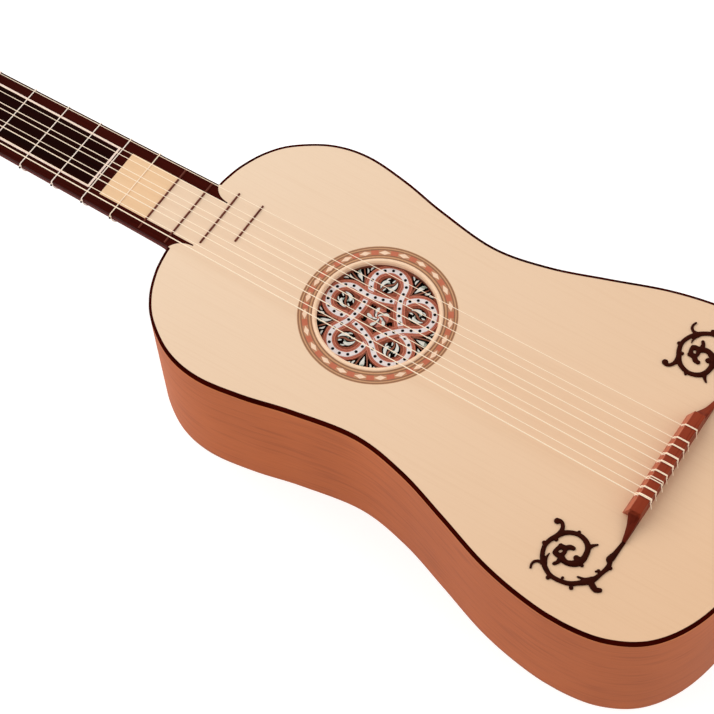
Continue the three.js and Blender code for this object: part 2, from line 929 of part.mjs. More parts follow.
// The scroll beside the bridge, in shares of its reach: towards the nut, outwards from the arm,
// and half the stem's width
const scrollShares = [
  [0, 0, 0.028],
  [0.005, 0.2, 0.032],
  [0, 0.35, 0.039],
  [-0.005, 0.51, 0.028],
  [0.02, 0.625, 0.03],
  [0.08, 0.745, 0.039],
  [0.16, 0.845, 0.039],
  [0.265, 0.93, 0.032],
  [0.385, 0.97, 0.032],
  [0.54, 0.98, 0.032],
  [0.67, 0.94, 0.032],
  [0.765, 0.86, 0.037],
  [0.845, 0.765, 0.032],
  [0.89, 0.645, 0.032],
  [0.9, 0.49, 0.034],
  [0.85, 0.355, 0.037],
  [0.755, 0.275, 0.034],
  [0.64, 0.225, 0.032],
  [0.55, 0.225, 0.03],
  [0.455, 0.265, 0.03],
  [0.375, 0.355, 0.03],
  [0.335, 0.47, 0.032],
  [0.345, 0.59, 0.034],
  [0.405, 0.665, 0.034],
  [0.5, 0.705, 0.034],
  [0.59, 0.685, 0.039],
  [0.65, 0.62, 0.047],
  [0.68, 0.55, 0.047],
];
const leafShares = [
  [[0.81, 0.3], [0.85, 0.2], [0.93, 0.157], [0.975, 0.195]],
  [[0.79, 0.87], [0.88, 0.9], [0.92, 0.96], [0.89, 1.03]],
  [[0.05, 0.72], [-0.03, 0.84], [-0.105, 0.8]],
  [[0.38, 0.33], [0.325, 0.255], [0.285, 0.22]],
  [[0.05, 0.69], [0.16, 0.765], [0.265, 0.79]],
  [[0.74, 0.89], [0.765, 0.8], [0.785, 0.7]],
  [[0.6, 0.69], [0.63, 0.8]],
  [[0.67, 0.53], [0.64, 0.47], [0.545, 0.44]],
];
const leafHalfWidthShares = [0.028, 0.0195, 0.016, 0.012];
const knobShares = [
  [0.975, 0.195, 0.041],
  [-0.105, 0.8, 0.039],
  [0.63, 0.8, 0.03],
  [0.545, 0.44, 0.032],
  [0.6, 0.19, 0.03],
  [0.94, 0.59, 0.032],
  [0.6, 1.02, 0.032],
  [0.26, 0.98, 0.03],
  [0.315, 0.61, 0.03],
  [-0.045, 0.45, 0.041],
  [0.04, 0.56, 0.028],
  [0.435, 0.93, 0.028],
  [0.835, 0.45, 0.028],
  [0.05, 0.33, 0.034],
  [0.405, 0.55, 0.041],
  [0.712, 0.525, 0.041],
  [0.715, 0.635, 0.037],
];
const knobSides = 6;

function makeScroll(side) {
  const originX = bridgeBack - armTipWidth / 2;
  const originY = bridgeSpan / 2 + glueGap;
  const place = ([along, out]) => point(originX - along * scrollReach, originY + out * scrollReach);
  const from = topLevel;
  const to = topLevel + scrollThickness;
  const widths = scrollShares.map(([, , half]) => half * scrollReach);
  const leafWidths = leafHalfWidthShares.map((half) => half * scrollReach);
  let scroll = toSolid(prism(ribbon(scrollShares.map(place), widths), from, to));
  for (const leaf of leafShares) {
    scroll = scroll.add(toSolid(prism(ribbon(leaf.map(place), leafWidths), from, to)));
  }
  for (const [along, out, radius] of knobShares) {
    const centre = place([along, out]);
    const knob = disc(radius * scrollReach, from, to, centre.x, centre.y, knobSides);
    scroll = scroll.add(toSolid(knob));
  }
  return side > 0 ? scroll : scroll.mirror([0, 1, 0]);
}

function fretX(number) {
  return nutX + scaleLength * (1 - 2 ** (-number / 12));
}

// A gut fret tied right round the neck, with its knot on the bass side just under the edge
function makeGutFret(number) {
  const x = fretX(number);
  const grow = gutFretRadius + glueGap;
  const bodySide = x + gutFretRadius;
  const under = neckSection(bodySide, grow).map((p) => new THREE.Vector3(x, p.x, p.y));
  const above = topLevel + grow;
  const half = neckHalf(x) + grow;
  const corner = (side) => [
    new THREE.Vector3(x, side * half, topLevel - gutFretRadius),
    new THREE.Vector3(x, side * (half - gutFretRadius / 2), topLevel + gutFretRadius / 2),
    new THREE.Vector3(x, side * (half - 2 * gutFretRadius), above),
  ];
  const knotLevel = topLevel - fretKnotDrop;
  const knot = new THREE.Vector3(x, -half, knotLevel);
  const route = [
    knot,
    ...corner(-1),
    ...corner(1).reverse(),
    ...under.slice(0, -1),
    new THREE.Vector3(x, -half, plateBottom - gutFretRadius),
    knot.clone().setZ(knotLevel - gutFretRadius / 4),
  ];
  const loop = toSolid(tube(route, gutFretRadius));
  const ball = new THREE.SphereGeometry(fretKnotRadius, gutSides, gutSides / 2 + 1);
  ball.translate(x, -half - fretKnotRadius / 2, knotLevel);
  return loop.add(toSolid(ball));
}

const woodFretPlaces = Array.from({ length: woodFretCount }, (_, i) => fretX(gutFretCount + 1 + i));

// A low wooden fret, glued across the neck, or on the soundboard where each is shorter than the last
function makeWoodFret(index) {
  const x = woodFretPlaces[index];
  const onNeck = x < bodyFront;
  const half = neckHalf(x) - woodFretInset;
  const bodyFretsBefore = woodFretPlaces.slice(0, index).filter((place) => place >= bodyFront);
  const length = bodyFretLength * nextBodyFretShare ** bodyFretsBefore.length;
  const treble = onNeck ? half : bodyFretTrebleReach;
  const bass = onNeck ? -half : bodyFretTrebleReach - length;
  const halfWidth = woodFretWidth / 2;
  const profile = [
    point(x - halfWidth, topLevel),
    point(x + halfWidth, topLevel),
    point(x + halfWidth / 2, topLevel + woodFretHeight),
    point(x - halfWidth / 2, topLevel + woodFretHeight),
  ];
  return crossPrism(profile, bass, treble);
}

function makeBrace(placeShare, bottom, top) {
  const x = bodyFront + placeShare * bodyLength;
  const near = x - braceThickness / 2;
  const far = x + braceThickness / 2;
  const half = Math.min(innerHalfWidth(near), innerHalfWidth(far), innerHalfWidth(x));
  const outline = [point(near, -half), point(far, -half), point(far, half), point(near, half)];
  return prism(outline, bottom, top);
}

function makeTopBrace(placeShare) {
  return makeBrace(placeShare, plateBottom - braceHeight, plateBottom);
}

function makeBackBrace() {
  return makeBrace(backBraceShare, backThickness, backThickness + backBraceHeight);
}

function makeNeckBlock() {
  const front = bodyFront + ribThickness + glueGap;
  const back = front + neckBlockLength;
  const half = neckBlockWidth / 2;
  const outline = [point(front, -half), point(back, -half), point(back, half), point(front, half)];
  return prism(outline, backThickness, plateBottom);
}

function makeTailBlock() {
  const half = tailBlockWidth / 2;
  const wall = halfOutline(ribThickness + glueGap).filter((p) => p.y < half && p.x > 0);
  const outer = wall.concat(mirrored(wall.slice(0, -1)).reverse());
  const front = wall[0].x - tailBlockLength;
  const outline = [...outer, point(front, -wall[0].y), point(front, wall[0].y)];
  return prism(outline, backThickness, plateBottom);
}

const plan = stringPlan();

addPiece("back", makeBack(), "ribWood");
addPiece("bass_rib", makeRib(-1), "ribWood");
addPiece("treble_rib", makeRib(1), "ribWood");
addPiece("neck_block", makeNeckBlock(), "spruce");
addPiece("tail_block", makeTailBlock(), "spruce");
addPiece("upper_soundboard_brace", makeTopBrace(upperBraceShare), "spruce");
addPiece("lower_soundboard_brace", makeTopBrace(lowerBraceShare), "spruce");
addPiece("back_brace", makeBackBrace(), "spruce");
addPiece("soundboard", makeSoundboard(), "spruce");
addPiece("edge_binding", makeBinding(), "ebony");
addPiece("rose", makeRose(), "terracotta");
addPiece("rose_bead", makeRoseBead(), "paleWood");
addPiece("rosette_band", makeRosetteBand(), "mosaic");
addPiece("neck", makeNeck(), "ebony");
addPiece("fingerboard", makeFingerboard(), "ebony");
addPiece("fingerboard_inlay", makeInlay(), "bone");
addPiece("nut", makeNut(), "bone");
addPiece("bridge", makeBridge(plan), "bridgeWood");
addPiece("bass_scroll", makeScroll(-1), "scrollWood");
addPiece("treble_scroll", makeScroll(1), "scrollWood");

for (let number = 1; number <= gutFretCount; number += 1) {
  addPiece(`gut_fret_${number}`, makeGutFret(number), "gut");
}
for (let index = 0; index < woodFretCount; index += 1) {
  addPiece(`wood_fret_${gutFretCount + 1 + index}`, makeWoodFret(index), "fretWood");
}

const pegPlaces = plan.map(({ side, peg }) => point(pegX(peg), side * pegRowHalf));
addPiece("head", makeHead(pegPlaces), "ebony", headGroup);
pegPlaces.forEach((place, i) => {
  const peg = addPiece(`peg_${i + 1}`, makePeg(), "ebony", headGroup);
  const winding = addPiece(`winding_${i + 1}`, makeWinding(), "gut", headGroup);
  peg.position.set(place.x, place.y, 0);
  winding.position.set(place.x, place.y, 0);
});

plan.forEach((string) => {
  const route = stringRoute(string);
  console.log(string.name, "least gap in its knot", leastGap(route, string.radius).toFixed(2), "mm");
  addPiece(string.name, tube(route, string.radius), "gut");
});

export default guitar;
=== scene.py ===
import bpy
import math
from mathutils import Matrix, Vector


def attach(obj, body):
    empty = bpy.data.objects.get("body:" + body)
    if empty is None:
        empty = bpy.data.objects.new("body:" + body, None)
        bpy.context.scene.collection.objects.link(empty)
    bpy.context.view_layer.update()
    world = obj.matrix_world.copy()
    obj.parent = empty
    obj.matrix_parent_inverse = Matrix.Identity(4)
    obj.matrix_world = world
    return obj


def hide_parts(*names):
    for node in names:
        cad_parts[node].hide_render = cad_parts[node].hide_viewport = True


# Baroque guitar in metres: +X runs from the nut to the tail, +Y is the treble side, +Z is up
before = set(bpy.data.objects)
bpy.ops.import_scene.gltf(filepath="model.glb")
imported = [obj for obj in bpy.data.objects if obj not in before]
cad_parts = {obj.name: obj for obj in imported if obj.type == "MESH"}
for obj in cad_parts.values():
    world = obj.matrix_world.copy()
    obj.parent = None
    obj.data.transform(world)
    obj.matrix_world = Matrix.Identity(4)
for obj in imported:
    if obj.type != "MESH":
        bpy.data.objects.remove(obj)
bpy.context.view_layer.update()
bpy.ops.object.select_all(action="DESELECT")
bpy.context.scene.view_settings.view_transform = "Standard"
print("frame loaded:", len(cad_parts), "nodes")

# Camera, lights and floor
view = {
    "place": (0.43414, -0.68975, 1.51867),
    "turn": (30.2999, 2.5599, 33.3727),
    "lens": 119.81,
    "sensor": 36,
    "farthest": 40,
}
stage = {
    "floorSize": 14,
    "floorPaint": (0.5, 0.5, 0.5, 1),
    "floorRoughness": 0.9,
    "floorColor": (1.0, 0.995, 0.985, 1),
    "floorGlow": 0.76,
    "skyColor": (1.0, 0.99, 0.975, 1),
    "skyStrength": 0.5,
    "lampAim": (0, 0, 0.05),
    "lamps": [
        # name, place, size, power, color
        ("keyLamp", (-1.7, 0.7, 2.1), 3.0, 35, (1.0, 0.97, 0.93)),
        ("fillLamp", (-2.2, -1.4, 1.2), 2.0, 21, (1.0, 0.96, 0.91)),
        ("tailLamp", (2.0, 0.6, 1.8), 2.2, 17, (1.0, 0.98, 0.96)),
    ],
}


def aimAt(place, target):
    return (Vector(target) - Vector(place)).to_track_quat("-Z", "Y").to_euler()


def makeCamera():
    bpy.ops.object.camera_add(location=view["place"])
    camera = bpy.context.object
    camera.name = "mainCamera"
    camera.rotation_euler = [math.radians(a) for a in view["turn"]]
    camera.data.lens = view["lens"]
    camera.data.sensor_width = view["sensor"]
    camera.data.clip_end = view["farthest"]
    bpy.context.scene.camera = camera


def makeLamps():
    for name, place, size, power, color in stage["lamps"]:
        bpy.ops.object.light_add(type="AREA", location=place)
        lamp = bpy.context.object
        lamp.name = name
        lamp.rotation_euler = aimAt(place, stage["lampAim"])
        lamp.data.size = size
        lamp.data.energy = power
        lamp.data.color = color
    # The camera sees a white sky, and the guitar is lit by a weaker one
    world = bpy.context.scene.world or bpy.data.worlds.new("studio")
    bpy.context.scene.world = world
    world.use_nodes = True
    sky = world.node_tree.nodes["Background"]
    sky.inputs["Color"].default_value = stage["skyColor"]
    seen = world.node_tree.nodes.new("ShaderNodeLightPath")
    brighten = world.node_tree.nodes.new("ShaderNodeMath")
    brighten.operation = "MAXIMUM"
    brighten.inputs[1].default_value = stage["skyStrength"]
    world.node_tree.links.new(seen.outputs["Is Camera Ray"], brighten.inputs[0])
    world.node_tree.links.new(brighten.outputs[0], sky.inputs["Strength"])


def makeFloor():
    bpy.ops.mesh.primitive_plane_add(size=stage["floorSize"], location=(0, 0, 0))
    floor = bpy.context.object
    floor.name = "studioFloor"
    paint = bpy.data.materials.new("palePaper")
    paint.use_nodes = True
    shader = paint.node_tree.nodes["Principled BSDF"]
    shader.inputs["Base Color"].default_value = stage["floorPaint"]
    shader.inputs["Roughness"].default_value = stage["floorRoughness"]
    shader.inputs["Emission Color"].default_value = stage["floorColor"]
    shader.inputs["Emission Strength"].default_value = stage["floorGlow"]
    floor.data.materials.append(paint)


makeCamera()
makeLamps()
makeFloor()
print("camera, lamps and floor placed")


# Shader groups that several finishes share


def addNode(tree, kind, values=None, **settings):
    made = tree.nodes.new(kind)
    for key, value in settings.items():
        setattr(made, key, value)
    for key, value in (values or {}).items():
        made.inputs[key].default_value = value
    return made


def newGroup(name, inputs, outputs):
    tree = bpy.data.node_groups.new(name, "ShaderNodeTree")
    for side, sockets in (("INPUT", inputs), ("OUTPUT", outputs)):
        for label, kind in sockets.items():
            tree.interface.new_socket(label, in_out=side, socket_type="NodeSocket" + kind)
    return tree, addNode(tree, "NodeGroupInput"), addNode(tree, "NodeGroupOutput")


def maths(tree, operation, first, second=None, third=None):
    made = addNode(tree, "ShaderNodeMath", operation=operation)
    for socket, value in zip(made.inputs, (first, second, third)):
        if value is None:
            continue
        if isinstance(value, (int, float)):
            socket.default_value = value
        else:
            tree.links.new(value, socket)
    return made.outputs[0]


def mixColors(tree, share, first, second, blend="MIX"):
    made = addNode(tree, "ShaderNodeMix", data_type="RGBA", blend_type=blend)
    for socket, value in ((made.inputs[0], share), (made.inputs[6], first), (made.inputs[7], second)):
        if isinstance(value, (int, float, tuple)):
            socket.default_value = value
        else:
            tree.links.new(value, socket)
    return made.outputs[2]


def noise(tree, vector, scale, detail, roughness):
    made = addNode(tree, "ShaderNodeTexNoise", {"Detail": detail, "Roughness": roughness})
    tree.links.new(vector, made.inputs["Vector"])
    if isinstance(scale, (int, float)):
        made.inputs["Scale"].default_value = scale
    else:
        tree.links.new(scale, made.inputs["Scale"])
    return made.outputs["Fac"]


def remap(tree, value, low, high, toLow=0.0, toHigh=1.0):
    made = addNode(tree, "ShaderNodeMapRange", {1: low, 2: high, 3: toLow, 4: toHigh})
    made.clamp = True
    tree.links.new(value, made.inputs[0])
    return made.outputs[0]


def splitPlace(tree, place):
    split = addNode(tree, "ShaderNodeSeparateXYZ")
    tree.links.new(place, split.inputs[0])
    return split.outputs


def tinted(tree, mask, color, tint):
    return mixColors(tree, mask, color, mixColors(tree, 1.0, color, tint, "MULTIPLY"))


# Wood: fibres, year lines and a slow drift of colour. The stretch is small along the grain
grainShape = {
    "wanderScale": 7.0,
    "wanderDetail": 1.0,
    "wanderReach": (0.0, 0.004, 0.004),
    "fibreDetail": 5.0,
    "fibreRoughness": 0.65,
    "lineDetail": 1.5,
    "lineRoughness": 0.45,
    "lineRange": (0.5, 0.72),
    "lineDepth": 0.6,
    "driftScale": 6.0,
    "driftDetail": 2.0,
    "driftRoughness": 0.55,
    "driftRange": (0.3, 0.72),
    "bump": 0.00004,
}
# What each wood gives for its own grain, in this order
grainInputs = {
    "Stretch": "Vector",
    "Fibre Scale": "Float",
    "Line Scale": "Float",
    "Line Strength": "Float",
    "Fibre Strength": "Float",
    "Drift Strength": "Float",
}
colorInputs = {"Light Color": "Color", "Dark Color": "Color"}


def makeGrainGroup():
    inputs = {"Vector": "Vector", **grainInputs, **colorInputs}
    tree, given, put = newGroup("woodGrain", inputs, {"Color": "Color", "Height": "Float"})
    plain = given.outputs["Vector"]
    along = addNode(tree, "ShaderNodeVectorMath", operation="MULTIPLY")
    tree.links.new(plain, along.inputs[0])
    tree.links.new(given.outputs["Stretch"], along.inputs[1])
    wander = addNode(tree, "ShaderNodeTexNoise",
                     {"Scale": grainShape["wanderScale"], "Detail": grainShape["wanderDetail"]})
    tree.links.new(plain, wander.inputs["Vector"])
    shift = addNode(tree, "ShaderNodeVectorMath", operation="MULTIPLY_ADD")
    tree.links.new(wander.outputs["Color"], shift.inputs[0])
    shift.inputs[1].default_value = grainShape["wanderReach"]
    tree.links.new(along.outputs[0], shift.inputs[2])
    fibres = noise(tree, shift.outputs[0], given.outputs["Fibre Scale"],
                   grainShape["fibreDetail"], grainShape["fibreRoughness"])
    lines = noise(tree, shift.outputs[0], given.outputs["Line Scale"],
                  grainShape["lineDetail"], grainShape["lineRoughness"])
    lineMask = remap(tree, lines, *grainShape["lineRange"])
    patches = noise(tree, plain, grainShape["driftScale"],
                    grainShape["driftDetail"], grainShape["driftRoughness"])
    drift = remap(tree, patches, *grainShape["driftRange"])
    total = maths(tree, "MULTIPLY", lineMask, given.outputs["Line Strength"])
    total = maths(tree, "MULTIPLY_ADD", fibres, given.outputs["Fibre Strength"], total)
    total = maths(tree, "MULTIPLY_ADD", drift, given.outputs["Drift Strength"], total)
    share = remap(tree, total, 0.0, 1.0)
    color = mixColors(tree, share, given.outputs["Light Color"], given.outputs["Dark Color"])
    tree.links.new(color, put.inputs["Color"])
    sunk = maths(tree, "MULTIPLY", lineMask, grainShape["lineDepth"])
    tree.links.new(maths(tree, "SUBTRACT", fibres, sunk), put.inputs["Height"])
    return tree


# A patchy change between two colours at any scale, with its own mask for roughness
mottleShape = {"detail": 4.0, "roughness": 0.6}


def makeMottleGroup():
    inputs = {"Vector": "Vector", "Scale": "Float", "Contrast": "Float", **colorInputs}
    tree, given, put = newGroup("softMottle", inputs, {"Color": "Color", "Mask": "Float"})
    patches = noise(tree, given.outputs["Vector"], given.outputs["Scale"],
                    mottleShape["detail"], mottleShape["roughness"])
    fromMiddle = maths(tree, "SUBTRACT", patches, 0.5)
    spread = maths(tree, "MULTIPLY_ADD", fromMiddle, given.outputs["Contrast"], 0.5)
    mask = remap(tree, spread, 0.0, 1.0)
    color = mixColors(tree, mask, given.outputs["Light Color"], given.outputs["Dark Color"])
    tree.links.new(color, put.inputs["Color"])
    tree.links.new(mask, put.inputs["Mask"])
    return tree


grainGroup = makeGrainGroup()
mottleGroup = makeMottleGroup()

# How far the roughness of a finish goes below and above its own value
roughSpread = {"wood": (-0.06, 0.1), "mottle": (-0.05, 0.08)}


def newFinish(name, roughness, coat=0.0, coatRoughness=0.2, specular=0.3, gloss=(1, 1, 1, 1), glow=None):
    finish = bpy.data.materials.new(name)
    finish.use_nodes = True
    tree = finish.node_tree
    shader = tree.nodes["Principled BSDF"]
    shader.inputs["Roughness"].default_value = roughness
    shader.inputs["Coat Weight"].default_value = coat
    shader.inputs["Coat Roughness"].default_value = coatRoughness
    shader.inputs["Specular IOR Level"].default_value = specular
    shader.inputs["Specular Tint"].default_value = gloss
    if glow:
        shader.inputs["Emission Color"].default_value = glow[:3] + (1,)
        shader.inputs["Emission Strength"].default_value = glow[3]
    place = addNode(tree, "ShaderNodeTexCoord").outputs["Object"]
    return finish, tree, shader, place


def addBump(tree, shader, height, distance, strength=0.5):
    bump = addNode(tree, "ShaderNodeBump", {"Strength": strength, "Distance": distance})
    tree.links.new(height, bump.inputs["Height"])
    tree.links.new(bump.outputs["Normal"], shader.inputs["Normal"])


def makeWood(name, light, dark, roughness, grain, tint=None, **extra):
    finish, tree, shader, place = newFinish(name, roughness, **extra)
    group = addNode(tree, "ShaderNodeGroup", node_tree=grainGroup)
    tree.links.new(place, group.inputs["Vector"])
    group.inputs["Light Color"].default_value = light
    group.inputs["Dark Color"].default_value = dark
    for key, value in zip(grainInputs, grain):
        group.inputs[key].default_value = value
    color = group.outputs["Color"]
    if tint:
        color = tint(tree, place, color)
    tree.links.new(color, shader.inputs["Base Color"])
    below, above = roughSpread["wood"]
    rough = remap(tree, group.outputs["Height"], 0.0, 1.0, roughness + below, roughness + above)
    tree.links.new(rough, shader.inputs["Roughness"])
    addBump(tree, shader, group.outputs["Height"], grainShape["bump"])
    return finish


def makeMottled(name, light, dark, roughness, scale, contrast=1.0, bump=0.00003, **extra):
    finish, tree, shader, place = newFinish(name, roughness, **extra)
    group = addNode(tree, "ShaderNodeGroup", {"Scale": scale, "Contrast": contrast}, node_tree=mottleGroup)
    tree.links.new(place, group.inputs["Vector"])
    group.inputs["Light Color"].default_value = light
    group.inputs["Dark Color"].default_value = dark
    tree.links.new(group.outputs["Color"], shader.inputs["Base Color"])
    below, above = roughSpread["mottle"]
    rough = remap(tree, group.outputs["Mask"], 0.0, 1.0, roughness + below, roughness + above)
    tree.links.new(rough, shader.inputs["Roughness"])
    addBump(tree, shader, group.outputs["Mask"], bump)
    return finish


screenGamma = 2.2


def srgb(red, green, blue):
    return tuple((c / 255) ** screenGamma for c in (red, green, blue)) + (1,)


# The top deepens towards the tail, and its tongue on the neck is cut from a yellower piece
spruceTint = {
    "pale": (1.0, 1.0, 1.0, 1),
    "deep": (0.975, 0.84, 0.72, 1),
    "tongue": (1.0, 0.9, 0.74, 1),
    "paleFrom": -0.24,
    "deepFrom": 0.26,
    "slant": -0.35,
    "tongueEnd": -0.2625,
    "tongueJoint": 0.0001,
}


def tintSpruce(tree, place, color):
    along, across, _ = splitPlace(tree, place)
    slanted = maths(tree, "MULTIPLY_ADD", across, spruceTint["slant"], along)
    deep = remap(tree, slanted, spruceTint["paleFrom"], spruceTint["deepFrom"])
    shade = mixColors(tree, deep, spruceTint["pale"], spruceTint["deep"])
    end = spruceTint["tongueEnd"]
    onTongue = remap(tree, along, end - spruceTint["tongueJoint"], end, 1.0, 0.0)
    shade = mixColors(tree, onTongue, shade, spruceTint["tongue"])
    return mixColors(tree, 1.0, color, shade, "MULTIPLY")


# The ebony is darker inside its pale line than along the edges
ebonyTint = {"inside": (0.26, 0.22, 0.24, 1), "halfWidth": (0.0175, 0.0185), "lineEnd": (-0.317, -0.316)}


def tintEbony(tree, place, color):
    along, across, _ = splitPlace(tree, place)
    inside = remap(tree, maths(tree, "ABSOLUTE", across), *ebonyTint["halfWidth"], 1.0, 0.0)
    beforeEnd = remap(tree, along, *ebonyTint["lineEnd"], 1.0, 0.0)
    share = maths(tree, "MULTIPLY", inside, beforeEnd)
    return mixColors(tree, share, color, ebonyTint["inside"], "MULTIPLY")


# The rib's upper edge is painted paler: a painted highlight along the rounded edge under the binding
ribEdgeHighlight = {"top": 0.1061, "width": 0.0022, "paler": (1.15, 1.35, 1.7, 1)}


def tintRib(tree, place, color):
    level = splitPlace(tree, place)[2]
    top, width = ribEdgeHighlight["top"], ribEdgeHighlight["width"]
    # Painted highlight along the top of the rib
    paler = remap(tree, level, top - width, top - width / 2)
    return tinted(tree, paler, color, ribEdgeHighlight["paler"])


spruceTop = makeWood(
    "spruceTop", srgb(242, 215, 187), srgb(228, 194, 160), 0.5, coat=0.08, tint=tintSpruce,
    grain=((0.02, 1, 1), 1700.0, 700.0, 0.15, 0.3, 0.15),
)
ribWood = makeWood(
    "ribWood", srgb(192, 99, 46), srgb(141, 66, 24), 0.5, coat=0.38, specular=0.0, tint=tintRib,
    coatRoughness=0.4, grain=((0.07, 0.07, 1), 600.0, 300.0, 0.22, 0.5, 0.3),
)
backWood = makeWood(
    "backWood", srgb(190, 104, 60), srgb(140, 68, 36), 0.45, specular=0.15,
    grain=((0.03, 1, 1), 500.0, 160.0, 0.4, 0.4, 0.25),
)
warmGloss = (1.0, 0.55, 0.45, 1)
ebonyWood = makeWood(
    "ebonyWood", srgb(76, 24, 17), srgb(38, 10, 8), 0.5, specular=0.03, tint=tintEbony, gloss=warmGloss,
    grain=((0.02, 1, 1), 900.0, 300.0, 0.3, 0.7, 0.3),
)
headWood = makeWood(
    "headWood", srgb(74, 25, 19), srgb(36, 11, 8), 0.42, specular=0.14, gloss=(1.0, 0.7, 0.6, 1),
    grain=((0.02, 1, 1), 900.0, 300.0, 0.3, 0.7, 0.3),
)
neckWood = makeWood(
    "neckWood", srgb(112, 38, 28), srgb(60, 18, 13), 0.6, specular=0.03, gloss=warmGloss,
    grain=((0.02, 1, 1), 900.0, 300.0, 0.3, 0.6, 0.3),
)
bindingWood = makeWood(
    "bindingWood", srgb(74, 20, 12), srgb(36, 8, 5), 0.6, specular=0.0, gloss=warmGloss,
    grain=((0.1, 0.1, 1), 700.0, 300.0, 0.4, 0.7, 0.3),
)


# The bridge's front slope is paler, a painted highlight on that face, and its arms are darker, the bass one
# most
bridgeTint = {
    "slope": (1.95, 3.4, 4.6, 1),
    "slopeHighlightEnd": (0.1465, 0.1475),
    "bassArm": (0.46, 0.32, 0.28, 1),
    "trebleArm": (0.85, 0.85, 0.85, 1),
    "armStart": (0.0428, 0.0443),
}


def tintBridge(tree, place, color):
    along, across, _ = splitPlace(tree, place)
    inner, outer = bridgeTint["armStart"]
    # Painted highlight: the front slope is lightened
    color = tinted(tree, remap(tree, along, *bridgeTint["slopeHighlightEnd"], 1.0, 0.0), color, bridgeTint["slope"])
    color = tinted(tree, remap(tree, across, inner, outer), color, bridgeTint["trebleArm"])
    return tinted(tree, remap(tree, across, -outer, -inner, 1.0, 0.0), color, bridgeTint["bassArm"])


bridgeWood = makeWood(
    "bridgeWood", srgb(160, 70, 46), srgb(88, 28, 20), 0.4, specular=0.12, gloss=warmGloss, tint=tintBridge,
    grain=((1, 0.04, 1), 900.0, 420.0, 0.35, 0.5, 0.2),
)
scrollWood = makeWood(
    "scrollWood", srgb(66, 26, 16), srgb(36, 12, 8), 0.5, specular=0.06, gloss=warmGloss,
    grain=((0.1, 1, 1), 900.0, 420.0, 0.3, 0.6, 0.3),
)
fretWood = makeWood(
    "fretWood", srgb(124, 62, 46), srgb(70, 30, 22), 0.45, specular=0.2,
    grain=((1, 0.05, 1), 1200.0, 700.0, 0.3, 0.6, 0.2),
)
innerSpruce = makeWood(
    "innerSpruce", srgb(236, 206, 166), srgb(206, 166, 118), 0.7,
    grain=((1, 0.03, 1), 900.0, 500.0, 0.4, 0.35, 0.3),
)
beadWood = makeWood(
    "beadWood", srgb(255, 222, 190), srgb(244, 200, 164), 0.5, coat=0.05,
    grain=((1, 1, 0.3), 700.0, 300.0, 0.2, 0.3, 0.3),
)
boneInlay = makeMottled("boneInlay", srgb(255, 236, 224), srgb(236, 206, 190), 0.4, 420.0, 1.4, coat=0.1)
# The gut cords glow faintly: painted light that keeps the thin strings and frets bright
gutCord = makeMottled("gutCord", srgb(255, 238, 212), srgb(248, 222, 188), 0.4, 900.0, 1.3,
                      coat=0.1, glow=(1.0, 0.88, 0.8, 0.11))
fretCord = makeMottled("fretCord", srgb(255, 244, 232), srgb(248, 226, 204), 0.4, 900.0, 1.3,
                       coat=0.1, glow=(1.0, 0.9, 0.84, 0.12))
burntGut = makeMottled("burntGut", srgb(74, 58, 48), srgb(26, 20, 18), 0.6, 1500.0)
roseClay = makeMottled("roseClay", srgb(160, 82, 56), srgb(92, 42, 28), 0.7, 700.0, 2.2, bump=0.00006)
roseStrand = makeMottled("roseStrand", srgb(214, 132, 108), srgb(168, 86, 64), 0.65, 900.0, 1.8)
roseBlush = makeMottled("roseBlush", srgb(206, 136, 126), srgb(158, 88, 80), 0.65, 700.0, 1.4)
roseStem = makeMottled("roseStem", srgb(168, 104, 80), srgb(96, 52, 38), 0.65, 900.0, 1.4)
ribbonPaper = makeMottled("ribbonPaper", srgb(244, 238, 236), srgb(222, 210, 212), 0.6, 600.0, 1.2)
inkAndShadeBlack = makeMottled("inkAndShadeBlack", srgb(28, 20, 26), srgb(10, 8, 10), 0.6, 700.0, specular=0.1)
shadowBlack = makeMottled("shadowBlack", srgb(20, 12, 10), srgb(6, 4, 4), 0.9, 300.0, specular=0.05)
leafPaper = makeMottled("leafPaper", srgb(244, 242, 236), srgb(196, 200, 192), 0.6, 640.0, 1.8)
leafGreen = makeMottled("leafGreen", srgb(186, 202, 192), srgb(88, 100, 88), 0.6, 640.0, 2.2)


# The ring round the rose: lozenges and blocks between thin dark lines
band = {
    "centre": (-0.0784, 0.0, 0.0),
    "roughness": 0.42,
    "coat": 0.2,
    "bump": 0.00003,
    "count": 23,
    "middleRadius": 0.0509,
    "lozenge": (0.0043, 0.0018),
    "block": (0.0026, 0.0023),
    "half": 0.0024,
    "ground": srgb(196, 134, 94),
    "blockColor": srgb(200, 106, 72),
    "lozengeColor": srgb(255, 220, 190),
    "lineColor": srgb(134, 88, 56),
    "paleColor": srgb(210, 156, 112),
    "lines": [0.0464, 0.0485, 0.0534, 0.0553],
    "lineHalfWidth": 0.0004,
    "lineFade": 1.6,
    "lineStrength": 0.85,
    "lozengeEdge": (0.9, 1.06),
    "blockEdge": (0.00015, 0.0001),
    "groundEdge": 0.0001,
    "wear": {"Scale": 500.0, "Contrast": 1.6},
    "wearColor": (0.72, 0.66, 0.6, 1),
    "wearStrength": 0.7,
}


